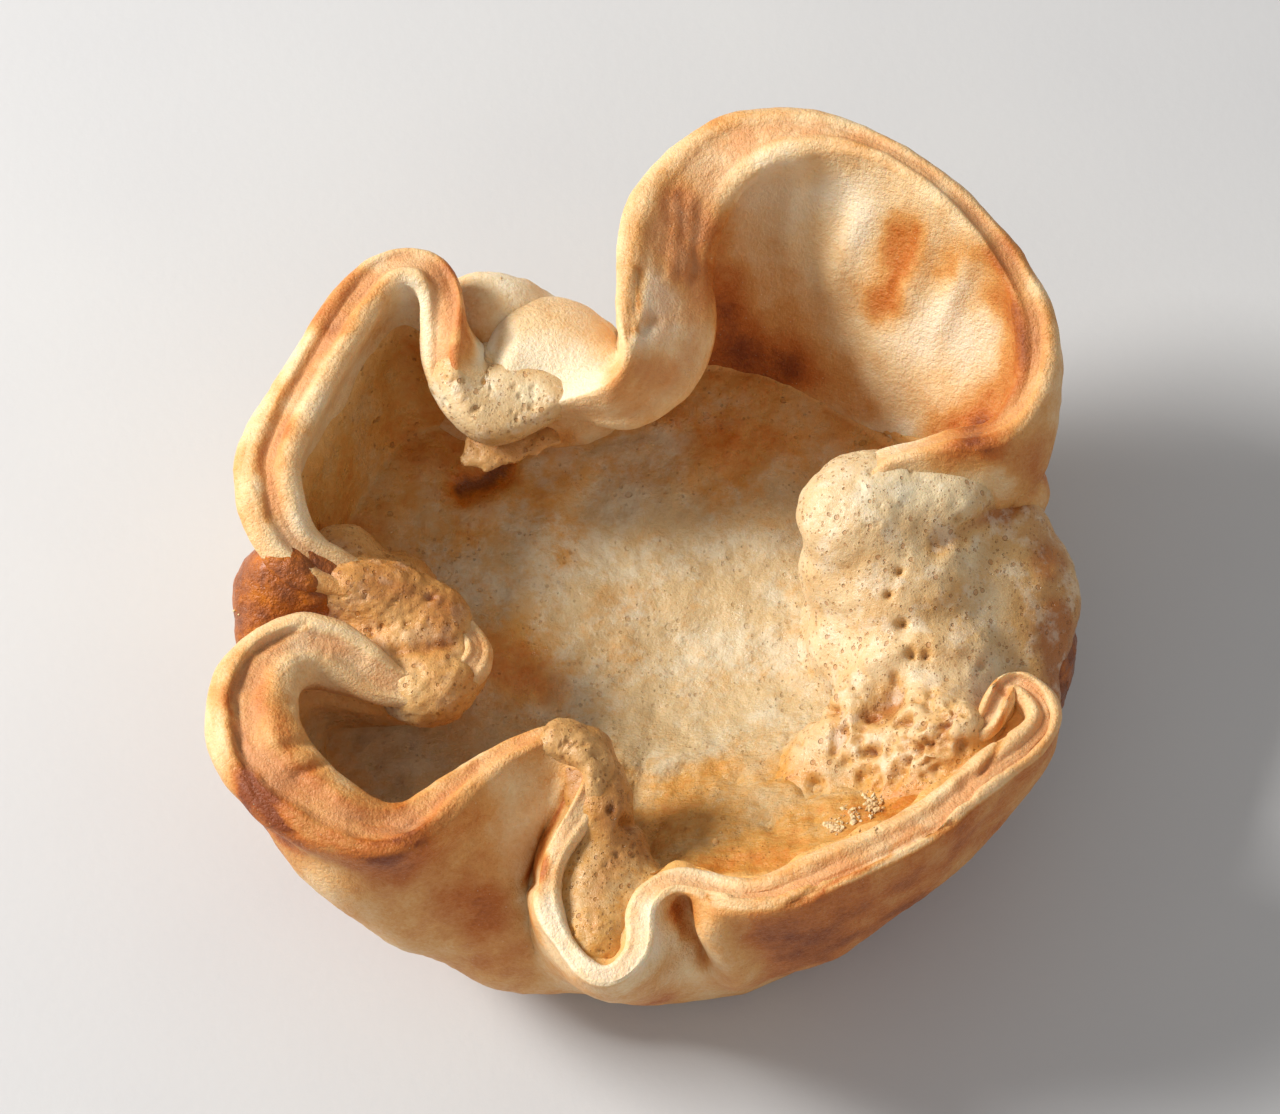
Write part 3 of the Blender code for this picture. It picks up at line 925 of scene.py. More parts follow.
    def bump(self, height: object, distance: float, strength: float = 1.0,
             under: object = None) -> bpy.types.NodeSocket:
        """Relief from a height, in mm.

        Args:
            height: the height, 0 to 1.
            distance: what a height of 1 is, in mm.
            strength: how strongly it shows.
            under: the normal that it is laid over, if any.

        Returns:
            The normal.
        """
        node = self.add("ShaderNodeBump")
        node.inputs["Strength"].default_value = strength
        node.inputs["Distance"].default_value = distance * MM
        self.put(node.inputs["Height"], height)
        if under is not None:
            self.put(node.inputs["Normal"], under)
        return node.outputs["Normal"]

    def finish(self, colour: object, roughness: object, normal: object, flesh: float = 0.0,
               flesh_reach: float = 0.8, specular: float = 0.5) -> bpy.types.Material:
        """Wires up the shader and returns the material.

        Args:
            colour: base colour.
            roughness: roughness.
            normal: normal, with its relief.
            flesh: how much light enters and comes out again.
            flesh_reach: how far it travels in mm.
            specular: strength of the plain reflection.

        Returns:
            The material.
        """
        self.put(self.shader.inputs["Base Color"], colour)
        self.put(self.shader.inputs["Roughness"], roughness)
        self.put(self.shader.inputs["Normal"], normal)
        self.shader.inputs["Subsurface Weight"].default_value = flesh
        self.shader.inputs["Subsurface Radius"].default_value = (1.0, 0.5, 0.22)
        self.shader.inputs["Subsurface Scale"].default_value = flesh_reach * MM
        self.shader.inputs["Specular IOR Level"].default_value = specular
        return self.material


@dataclass(frozen=True)
class PastryFinish:
    """Baked shortcrust, from cream to well browned."""

    name: str = "baked_pastry"
    cream: tuple = rgb(240, 222, 190)
    pale: tuple = rgb(234, 200, 150)
    tan: tuple = rgb(216, 156, 88)
    brown: tuple = rgb(188, 106, 36)
    dark: tuple = rgb(132, 62, 14)
    groove: tuple = rgb(214, 152, 100)

    def make(self) -> bpy.types.Material:
        """Builds the nodes.

        Returns:
            The material.
        """
        g = Graph(self.name)
        toast_and_shade = g.attribute("toast_and_shade")
        edge = g.attribute("edge")
        across = g.attribute("across")
        x, y, _ = g.axes()
        layers = g.noise(1.0, 2.0, 0.5, g.drawn((x, y, across), (0.22, 0.22, 1.5)))
        blotch = g.noise(0.32, 4.0, 0.6)
        grain = g.noise(2.6, 3.0, 0.6)
        speck = g.noise(6.0, 3.0, 0.6)
        amount = g.stir(g.stir(g.stir(toast_and_shade, blotch, 0.55), grain, 0.2), speck, 0.16)
        amount = g.stir(amount, layers, g.math("MULTIPLY", edge, 0.3))
        colour = g.ramp(amount, (0.0, self.cream), (0.25, self.pale), (0.52, self.tan), (0.78, self.brown),
                        (1.0, self.dark))
        pinkish = g.math("MULTIPLY", g.attribute("groove"), g.span(blotch, 0.35, 0.6, 0.35, 0.8))
        colour = g.mix(pinkish, colour, self.groove)
        # pale specks, partly real sugar and partly painted glints
        sugar_and_glint = g.math("MULTIPLY", g.pores(3.2, 0.22), g.span(g.noise(0.5, 2.0), 0.45, 0.62))
        colour = g.mix(g.math("MULTIPLY", sugar_and_glint, 0.45), colour, self.cream)
        rough = g.span(grain, 0.3, 0.7, 0.38, 0.6)
        height = g.math("ADD", speck, g.math("MULTIPLY", sugar_and_glint, 0.8))
        normal = g.bump(height, 0.1, 0.9)
        normal = g.bump(grain, 0.22, 0.75, normal)
        normal = g.bump(g.math("MULTIPLY", layers, edge), 0.16, 0.6, normal)
        return g.finish(colour, rough, normal, flesh=0.2, flesh_reach=1.2, specular=0.4)


@dataclass(frozen=True)
class FillingFinish:
    """The collapsed filling: brown coat on the walls, greyish tan floor with a pale film."""

    name: str = "caramelised_filling"
    dark: tuple = rgb(126, 66, 14)
    brown: tuple = rgb(196, 114, 28)
    gold: tuple = rgb(206, 150, 74)
    tan: tuple = rgb(204, 176, 130)
    film: tuple = rgb(214, 202, 174)
    pastry: tuple = rgb(226, 172, 100)

    def make(self) -> bpy.types.Material:
        """Builds the nodes.

        Returns:
            The material.
        """
        g = Graph(self.name)
        floor = g.attribute("floor")
        colour = self.lay(g, g.attribute("toast_and_shade"), floor, g.attribute("skirt"))
        film = g.noise(0.22, 9.0, 0.76)
        grain = g.noise(1.3, 4.0, 0.6)
        fine = g.noise(5.0, 3.0, 0.6)
        cluster = g.span(g.noise(0.3, 2.0), 0.42, 0.62)
        wall = g.math("SUBTRACT", 1.0, g.math("MULTIPLY", floor, 0.6))
        hole = g.math("MULTIPLY", g.pores(0.9, 0.3), g.math("MULTIPLY", cluster, wall))
        small = g.math("MULTIPLY", g.pores(2.1, 0.34), g.math("MULTIPLY", cluster, 0.6))
        hole = g.math("MAXIMUM", hole, small)
        # pores painted darker: painted shade in them
        colour = g.mix(g.math("MULTIPLY", hole, 0.4), colour, self.dark)
        rough = g.span(g.noise(0.8, 3.0), 0.35, 0.65, 0.25, 0.55)
        height = g.math("SUBTRACT", g.math("MULTIPLY", grain, 0.8), g.math("MULTIPLY", hole, 0.9))
        normal = g.bump(fine, 0.06, 0.7)
        normal = g.bump(height, 0.28, 0.9, normal)
        normal = g.bump(film, 0.5, 0.55, normal)
        normal = g.bump(self.fibres(g, floor), 0.45, 0.8, normal)
        return g.finish(colour, rough, normal, flesh=0.15, flesh_reach=1.0, specular=0.5)

    @staticmethod
    def fibres(g: Graph, floor: object) -> bpy.types.NodeSocket:
        """Strands that run across the slope at the front.

        Args:
            g: the material's nodes.
            floor: how much the surface is floor.

        Returns:
            Their height, 0 to 1.
        """
        axes = g.axes()
        strands = g.noise(1.0, 5.0, 0.68, g.drawn(axes, (0.45, 1.5, 1.5)))
        slope = g.span(axes[1], -10.0, -3.0, 1.0, 0.0)
        return g.math("MULTIPLY", strands, g.math("MULTIPLY", slope, floor))

    def lay(self, g: Graph, toast_and_shade: object, floor: object, skirt: object = None) -> bpy.types.NodeSocket:
        """The colour, without its pores.

        Args:
            g: the material's nodes.
            toast_and_shade: how far it is browned, with painted shade in places.
            floor: how much it is floor.
            skirt: way down the wall to full colour, if it has a bare rim.

        Returns:
            The colour.
        """
        blotch = g.noise(0.2, 6.0, 0.66)
        grain = g.noise(1.3, 4.0, 0.6)
        amount = g.stir(toast_and_shade, blotch, 0.9)
        amount = g.math("SUBTRACT", amount, g.math("MULTIPLY", self.fibres(g, floor), 0.4))
        amount = g.stir(amount, grain, 0.5)
        colour = g.ramp(amount, (0.0, self.tan), (0.35, self.gold), (0.65, self.brown), (1.0, self.dark))
        if skirt is not None:
            colour = g.mix(g.span(g.stir(skirt, blotch, 0.9), 0.1, 1.0, 1.0, 0.0), colour, self.pastry)
        film = g.span(g.noise(0.22, 9.0, 0.76), 0.44, 0.62)
        patch = g.math("MULTIPLY", film, g.math("MULTIPLY", floor, 0.7))
        patch = g.math("MULTIPLY", patch, g.span(toast_and_shade, 0.2, 0.45, 1.0, 0.0))
        return g.mix(patch, colour, self.film)


@dataclass(frozen=True)
class FrothFinish:
    """Froth and open crumb of the filling, baked pale; its glints and the shade in its pores are painted."""

    name: str = "froth"
    pale: tuple = rgb(226, 204, 164)
    tan: tuple = rgb(208, 162, 100)
    brown: tuple = rgb(172, 106, 46)
    painted_glint: tuple = rgb(236, 230, 212)
    painted_glint_share: float = 0.3

    def make(self) -> bpy.types.Material:
        """Builds the nodes.

        Returns:
            The material.
        """
        g = Graph(self.name)
        blotch = g.noise(0.4, 4.0, 0.6)
        grain = g.noise(3.0, 4.0, 0.65)
        fine = g.noise(8.0, 2.0, 0.5)
        amount = g.stir(g.stir(g.attribute("toast_and_shade"), blotch, 0.5), grain, 0.3)
        colour = g.ramp(amount, (0.0, self.pale), (0.5, self.tan), (1.0, self.brown))
        # white patches over the froth: painted glints
        painted_glint = g.math("MULTIPLY", g.span(g.noise(0.45, 5.0, 0.65), 0.5, 0.64), self.painted_glint_share)
        colour = g.mix(painted_glint, colour, self.painted_glint)
        bed = FillingFinish().lay(g, g.attribute("bed_toast_and_shade"), 1.0)
        colour = g.mix(g.attribute("settled"), colour, bed)
        hole = g.math("MAXIMUM", g.pores(1.5, 0.36), g.math("MULTIPLY", g.pores(3.4, 0.42), 0.8))
        # pores painted browner: painted shade in them
        colour = g.mix(g.math("MULTIPLY", hole, 0.5), colour, self.brown)
        rough = g.span(grain, 0.35, 0.65, 0.25, 0.5)
        normal = g.bump(fine, 0.05, 0.7)
        height = g.math("SUBTRACT", g.math("MULTIPLY", grain, 0.6), hole)
        normal = g.bump(height, 0.2, 0.9, normal)
        return g.finish(colour, rough, normal, flesh=0.12, flesh_reach=1.0, specular=0.5)


@dataclass(frozen=True)
class CaramelFinish:
    """Filling that leaked out and turned to shiny caramel."""

    name: str = "caramel"
    amber: tuple = rgb(186, 104, 12)
    dull: tuple = rgb(158, 86, 30)
    dark: tuple = rgb(128, 70, 34)

    def make(self) -> bpy.types.Material:
        """Builds the nodes.

        Returns:
            The material.
        """
        g = Graph(self.name)
        blotch = g.noise(0.5, 4.0, 0.6)
        grain = g.noise(2.2, 3.0, 0.6)
        amount = g.math("ADD", g.math("MULTIPLY", blotch, 1.4), g.math("MULTIPLY", g.attribute("toast_and_shade"), 0.6))
        colour = g.ramp(amount, (0.5, self.amber), (0.72, self.dull), (0.95, self.dark))
        normal = g.bump(grain, 0.45, 0.8)
        g.shader.inputs["Coat Weight"].default_value = 0.15
        g.shader.inputs["Coat Roughness"].default_value = 0.2
        rough = g.span(grain, 0.3, 0.7, 0.28, 0.5)
        return g.finish(colour, rough, normal, flesh=0.03, flesh_reach=0.6, specular=0.3)


Finish = PastryFinish | FillingFinish | FrothFinish | CaramelFinish


# --- pieces ---------------------------------------------------------------------------------
SHELL_MARKS = (
    Mark("browned shoulder of the upper left lobe", ((-27.1, 32.8), (-24.9, 35)), 2.2, toast_and_shade=0.5),
    Mark("glistening patch on the left arm", ((2.4, 42.7), (1.8, 36.7)), 1.8, toast_and_shade=0.42, sides=EDGE),
    Mark("corner of the tall lobe", ((5, 40.6), (4.8, 35.6)), 2.4, toast_and_shade=0.4, sides=INSIDE + EDGE),
    Mark("pale cracked patch on the left arm", ((0, 35.2), (-0.8, 30.6)), 1.8, toast_and_shade=-0.4, sides=EDGE),
    Mark("brown patch on the left arm", ((0, 28.9), (-2.5, 27.7)), 1.6, toast_and_shade=0.35),
    Mark("golden patch in the tall lobe", ((20.6, 39.3), (19.2, 34.3)), 2.1, toast_and_shade=0.62, sides=INSIDE),
    # painted shade low on the tall lobe's inner wall, under its left arm
    Mark("deep brown of the tall lobe", ((5.4, 31.4), (11.2, 28.9)), 3, toast_and_shade=0.35, sides=INSIDE),
    Mark("second golden patch", ((24.2, 37.2),), 1.6, toast_and_shade=0.36, sides=INSIDE),
    # painted light: the top of the tall lobe's inner wall made paler where light falls
    Mark("pale top of the inner wall", ((8.8, 43.5), (17.1, 42.7)), 3, toast_and_shade=-0.26, sides=INSIDE),
    Mark("cream wall of the tall lobe", ((22.9, 31.8), (27.5, 31)), 3.2, toast_and_shade=-0.25, sides=INSIDE),
    Mark("groove widening on the right", ((28.8, 38.5), (30.6, 31.8), (29.8, 27.2), (26.7, 23.1)), 2.0,
         toast_and_shade=0.5),
    Mark("brown flank of the right pleat", ((25, 22.2), (31.7, 21.4)), 2.2, toast_and_shade=0.25),
    Mark("whitish flank of the right pleat", ((23.3, 19.3), (28.3, 19.3)), 1.4, toast_and_shade=-0.3),
    Mark("orange band of the lower left lobe", ((-32.1, -6.5), (-27.9, -10.7), (-21.2, -11.1),
                                                (-16.2, -8.6)), 2.6, toast_and_shade=0.4),
    Mark("reddish groove of the lower left lobe", ((-32.8, 2.7), (-33.8, -1.9), (-31.7, -6.5)), 1.6,
         toast_and_shade=0.25),
    Mark("browned top of the front pleat", ((-17.9, -6.5), (-12.9, -2.3), (-7.9, -1.1)), 2, toast_and_shade=0.12),
    # a tan band, darkened further as painted shade on its side away from the lamp
    Mark("right band of the upper left lobe", ((-17.9, 36.4), (-16.2, 32.7), (-16.4, 28.3)), 1.1, toast_and_shade=0.55),
    Mark("pinkish groove of the upper left lobe",
         ((-31.9, 16.8), (-32.1, 22.7), (-30.4, 26.8), (-27.2, 31.4)), 1.0, toast_and_shade=0.34),
    Mark("tan flank", ((-14.6, 34.3), (-13.8, 30.2)), 1.8, toast_and_shade=-0.5),
    Mark("cream roll of the upper left lobe", ((-20.9, 35), (-19.1, 31.3), (-19.1, 28.3)), 0.9, toast_and_shade=-0.25),
    Mark("inner bead of the lower left lobe", ((-31.7, 1), (-30.4, -4), (-26.2, -7.3), (-21.2, -8.2)), 1.6,
         toast_and_shade=0.3),
    Mark("outer flake of the lower left lobe", ((-35.4, 2.7), (-35.6, -1.9), (-33.8, -7.3), (-29.6, -11.5)),
         0.9, toast_and_shade=0.3),
    Mark("inner lip of the right front lobe", ((8.8, -14.8), (16.2, -11.5), (22.9, -7.3)), 1.6, toast_and_shade=0.2),
    Mark("shaded shoulder", ((8.8, -20.7), (17.1, -17.3), (25.4, -9.8)), 3.5, toast_and_shade=0.2, sides=OUTSIDE),
    Mark("pale lip of the spout", ((-9.2, -15.7), (-7.9, -19.8), (-3.8, -22.8), (-0.8, -20.7), (0, -16.9)),
         1.4, toast_and_shade=-0.32),
    Mark("froth on the end of the right pleat", ((17.8, 22.2), (20.8, 23.5)), 1.3, toast_and_shade=-0.35),
    Mark("curl of the left pleat", ((-15, 5.6),), 1.6, toast_and_shade=0.25),
    # the darkening along the torn edge and the cracks below is painted shade in them
    Mark("torn edge of the lower left flake", ((-29, 7.5), (-33.6, 4.9), (-35.3, 1.6), (-34.8, -2.6),
                                               (-33.3, -6.7), (-29.5, -11.1), (-27.2, -12.4),
                                               (-25.8, -13.4)), 0.28, lift=-0.4, toast_and_shade=0.3, sides=EDGE),
    Mark("crack along the right front lobe", ((24.7, -9.2), (20.3, -11.1), (15.8, -13.5), (11.6, -15.8),
                                              (8.8, -17.8), (6.5, -16.5), (4.2, -15.2)), 0.24, lift=-0.4,
                                              toast_and_shade=0.35, sides=EDGE),
    Mark("crack in the curled tip", ((27.6, 3), (29.8, 1), (29.1, -2.3), (27.2, -5.1)), 0.24, lift=-0.35,
         toast_and_shade=0.3, sides=EDGE),
    Mark("wrinkle of the bead", ((-30.8, -2.8), (-27.5, -1.9)), 0.5, lift=-0.35, sides=EDGE),
    Mark("second wrinkle", ((-30, -5.2), (-26.7, -3.6)), 0.45, lift=-0.35, toast_and_shade=0.1, sides=EDGE),
    Mark("third wrinkle", ((-32.1, 1), (-28.8, 0.6)), 0.45, lift=-0.25, sides=EDGE),
    Mark("lamination", ((-25.2, -8.8), (-20.7, -9.4), (-14.8, -4.8)), 0.3, lift=-0.25, toast_and_shade=0.2, sides=EDGE),
    Mark("second lamination", ((-25.2, -10.2), (-19.6, -10.7), (-12.9, -5.7)), 0.3, lift=-0.2, toast_and_shade=0.2,
         sides=EDGE),
    # darkening in the slit is painted shade
    Mark("slit of the small front pleat", ((2.3, -16.3), (2.8, -18.2), (3.9, -20.9)), 0.6, lift=-1.6,
         toast_and_shade=0.35, sides=OUTSIDE),
    Mark("roll beside the slit", ((4.8, -17.8), (6.7, -21.1)), 1.6, lift=1.3, sides=OUTSIDE),
    Mark("band of the left arm", ((-2.8, 31.4), (-1.2, 38.5), (2.1, 44.3)), 1.7, toast_and_shade=0.2, sides=EDGE),
    Mark("shade beside the front pleat", ((-13.8, -15.7), (-11.2, -19.8)), 2.5, toast_and_shade=0.2, sides=OUTSIDE),
    # painted shade: the outer wall darker towards the bottom, under the overhang
    Mark("low flank", ((-22.9, -14.8), (-14.6, -18.2)), 3.6, toast_and_shade=0.3, sides=OUTSIDE),
    Mark("pinkish flank of the spout", ((-1.2, -19), (3.8, -19.4), (7.9, -21.1)), 2.4, toast_and_shade=-0.35,
         sides=OUTSIDE),
    Mark("pale wedge", ((2.9, -22.8),), 1.8, toast_and_shade=-0.3, sides=OUTSIDE),
    Mark("white bulge of the rear pleat", ((-9.2, 30.6), (-6.7, 28.5)), 4.2, toast_and_shade=-0.3, sides=OUTSIDE),
    # darkening in this crack is painted shade
    Mark("crack on the left arm", ((-1.2, 36.8), (-1.8, 33.5), (-2.2, 31.2)), 0.35, lift=-0.4, toast_and_shade=0.4,
         sides=EDGE),
    Mark("layer of the left arm", ((1.1, 42.2), (0.6, 36.4)), 0.3, lift=-0.16, toast_and_shade=0.18, sides=EDGE),
    Mark("second layer of the left arm", ((2.4, 43.1), (1.9, 36)), 0.3, lift=-0.16, toast_and_shade=0.18,
         sides=EDGE),
    Mark("third layer of the left arm", ((3.8, 42.7), (3.1, 35.6)), 0.3, lift=-0.14, toast_and_shade=0.15,
         sides=EDGE),
    # darkening in the pit is painted shade
    Mark("pit on the left arm", ((0, 32.8), (-0.8, 31.8)), 0.45, lift=-0.4, toast_and_shade=0.3, sides=EDGE),
    Mark("layer of the upper left lobe", ((-32.2, 16), (-32.4, 21.8), (-30.8, 26), (-28.1, 30)), 0.3,
         lift=-0.1, toast_and_shade=0.12, sides=EDGE),
    Mark("rib in the tall lobe", ((11.7, 44.8), (11.2, 38.5)), 1.2, lift=0.45, sides=INSIDE),
    Mark("second rib", ((17.1, 41.4), (15, 36)), 1.1, lift=0.45, toast_and_shade=-0.1, sides=INSIDE),
    Mark("third rib", ((22.5, 39.3), (20.8, 34.3)), 1.1, lift=0.5, toast_and_shade=-0.15, sides=INSIDE),
    Mark("fourth rib", ((25.8, 37.2), (24.2, 32.7)), 1.1, lift=0.4, toast_and_shade=-0.15, sides=INSIDE),
    # darkening along both creases is painted shade
    Mark("crease of the front pleat", ((-6.6, -5.5), (-8.4, -9.1), (-9.8, -12.8), (-10.2, -14.3)), 0.5,
         lift=-0.6, toast_and_shade=0.5),
    Mark("crease of the rear pleat", ((-13.2, 27.2), (-13.2, 29.8), (-12.2, 31.6)), 0.6, lift=-0.6,
         toast_and_shade=0.4),
)


@dataclass
class PastryShell:
    """The ruffled dough, one closed skin."""

    DISC = (0.05, 0.4, 0.75)  # rows of the flat base, as shares of its radius

    columns: int = 1040
    bare_rows: int = 22
    buried_rows: int = 8
    edge_rows: int = 22
    outer_rows: int = 36
    below_bare: float = 4.0  # mm of wall below the bare part that keep their fine rows
    crowding: float = 1.15  # of the outer rows towards the edge
    lump: float = 0.36
    lump_size: float = 6.5
    grain: float = 0.1
    grain_size: float = 2.0
    sway: float = 0.8
    sway_size: float = 3.0
    seed: int = 11

    def build(self) -> bpy.types.Object:
        """Lays the skin, gives it its relief, browning and painted shade, and makes the piece.

        Returns:
            The object.
        """
        sheet = Sheet(self.columns)
        self.noise = Noise(self.seed)
        skin = self.lay(sheet)
        self.raise_relief(skin)
        self.brown(skin)
        skin.rows[..., 2] = np.maximum(skin.rows[..., 2], 0)
        obj = skin.build("pastry_shell_skin")
        obj.data.materials.append(PastryFinish().make())
        return obj

    def lay(self, sheet: Sheet) -> Skin:
        """The smooth skin, with its place across the sheet.

        Args:
            sheet: the dough.

        Returns:
            The skin, not yet browned.
        """
        rows, across, part = [], [], []

        def put(row: np.ndarray, way: np.ndarray, side: Side) -> None:
            """Adds a row, with its way across the sheet from the middle of the edge.

            Args:
                row: its points.
                way: that way in mm, negative inside.
                side: the face that it is on.
            """
            rows.append(row)
            across.append(np.broadcast_to(way, sheet.count))
            part.append(np.full(sheet.count, side.value))

        inner, outer = sheet.middle - sheet.half, sheet.middle + sheet.half
        total = sheet.depth[-1]
        half = sheet.lip / 2
        for share in self.DISC:
            put(flat_row(inner[-1], share, sheet.DOUGH), -half - total, Side.INSIDE)
        shown = sheet.bare + self.below_bare
        depths = [shown * k / self.bare_rows for k in range(self.bare_rows)]
        depths += [shown + (total - shown) * k / self.buried_rows for k in range(self.buried_rows + 1)]
        for depth in depths[::-1]:
            put(sheet.read(inner, sheet.row_at(depth)), -half - depth, Side.INSIDE)
        self.lay_edge(sheet, put)
        for k in range(self.outer_rows + 1):
            depth = total * (k / self.outer_rows) ** self.crowding
            put(sheet.read(outer, sheet.row_at(depth)), half + depth, Side.OUTSIDE)
        for share in self.DISC[::-1]:
            put(flat_row(outer[-1], share, 0.0), half + total, Side.OUTSIDE)
        self.part = np.array(part)
        shape = self.part.shape
        across = np.array(across)
        edge = 1 - ease(np.abs(across) - half, -0.8, 1.6)
        return Skin(np.array(rows), across=across, edge=edge, groove=np.zeros(shape), toast_and_shade=np.zeros(shape))

    def lay_edge(self, sheet: Sheet, put: Callable) -> None:
        """The rounded edge, its groove and the flake outside it.

        Args:
            sheet: the dough.
            put: adds a row to the skin.
        """
        rim = sheet.rim_path
        along = np.column_stack([rim.plan, sheet.rim[:, 2]])
        wander = self.noise.at(along, 2.2) * 0.1 + self.noise.at(along, 0.7) * 0.07  # of the flake's edge
        seat, broad = rim.value("seat") + wander * rim.value("step"), rim.value("broad")
        deep = rim.value("groove") * (1 + 0.5 * self.noise.at(along, 6.0))
        soft = 0.24 - 0.16 * rim.value("step")
        uneven = 1 + 0.08 * self.noise.layered(along, 5.0, 3)
        self.grooves = []
        for place in sheet.edge_places(self.edge_rows):
            rising = ease(place, seat - broad - 0.2, seat - broad + 0.25)
            falling = 1 - ease(place, seat + broad - soft, seat + broad + soft)
            sunk = rising * falling
            self.grooves.append(sunk * np.clip(deep / 0.5, 0, 1))
            spread = sheet.half[0] * (place * uneven)[:, None]
            put(sheet.rim + spread + sheet.edge_way * (sheet.crown(place) * uneven - deep * sunk)[:, None],
                sheet.lip / 2 * place, Side.EDGE)

    def raise_relief(self, skin: Skin) -> None:
        """Lumps of baked dough, and the marks' creases and ribs.

        Args:
            skin: the smooth skin.
        """
        first = len(self.DISC) + self.bare_rows + self.buried_rows + 1
        skin.attributes["groove"][first:first + self.edge_rows] = np.array(self.grooves)
        points = skin.rows
        lumps = self.lump * self.noise.layered(points, self.lump_size, 2)
        lumps += self.grain * self.noise.layered(points, self.grain_size, 3)
        lumps *= ease(points[..., 2], 1.0, 5.0)
        seen = Viewpoint.seen(points)
        for mark in SHELL_MARKS:
            if mark.lift:
                lumps += mark.lift * mark.weight(seen) * self.takes(mark)
        skin.lift(lumps)

    def takes(self, mark: Mark) -> np.ndarray:
        """1 where the mark's sides are, else 0."""
        return np.array([side in mark.sides for side in Side], float)[self.part]

    def brown(self, skin: Skin) -> None:
        """How far every point is baked, with painted shade added by the terms and marks below.

        Args:
            skin: the skin with its relief.
        """
        points = skin.rows
        seen = Viewpoint.seen(points)
        seen = seen + self.sway * self.noise.sway(points, self.sway_size)
        across = skin.attributes["across"]
        x, y, z = np.moveaxis(points, -1, 0)
        toast_and_shade = 0.3 + 0.06 * ease(across, 0.5, 3.0) + 0.14 * self.noise.layered(points, 5.0)
        # partly browning, partly painted shade: the outer face browner towards the front right, away from the
        # lamp
        front_right_shade = (self.part == Side.OUTSIDE.value) * ease(x - y, 8.0, 30.0)
        toast_and_shade += 0.26 * front_right_shade
        # partly browning, partly painted shade: the inner wall browner low down, where shadow falls
        low_inside_shade = ease(-z, -21.0, -12.0) * (1 - 0.8 * ease(x, 8.0, 18.0))
        low_inside_shade *= 1 - 0.8 * ease(-x, 17.0, 23.0)
        toast_and_shade += 0.4 * (self.part == Side.INSIDE.value) * low_inside_shade
        for mark in SHELL_MARKS:
            if mark.toast_and_shade:
                toast_and_shade += mark.toast_and_shade * mark.weight(seen) * self.takes(mark)
        skin.attributes["toast_and_shade"][:] = toast_and_shade


BED_MARKS = (
    # painted light: the hollow made paler for the light that reaches into it
    Mark("hollow of the lower left lobe", ((-27.1, 0.2), (-22.1, -3.2)), 4, toast_and_shade=-0.5),
    # a golden coat, made paler as painted light on a wall turned from the lamp
    Mark("golden wall of the upper left lobe", ((-27.1, 20.2), (-25.4, 27.7)), 4.5, toast_and_shade=-0.25),
    Mark("pale line at the wall", ((12.1, 27.7), (16.8, 26.3), (19.2, 24.3)), 0.7, lift=0.2, toast_and_shade=-0.5),
    Mark("pale line under the arm", ((-4.6, 21.7), (0.3, 22.5)), 0.6, lift=0.2, toast_and_shade=-0.4),
    Mark("orange patch", ((8.8, 22.7), (3.8, 20.2)), 2.5, toast_and_shade=0.2),
    # painted shade in the pit under the ragged lip
    Mark("dark pit under the rear pleat", ((-15.8, 18.7), (-12.9, 19.8)), 1.3, lift=-0.8, toast_and_shade=0.7),
    Mark("brown foot of the tongue", ((-12.9, 4.3), (-7.9, 1)), 3.0, toast_and_shade=0.3),
    Mark("whitish film", ((-1.2, 17.7), (7.1, 12.7), (8.8, 6)), 4.5, toast_and_shade=-0.15),
)


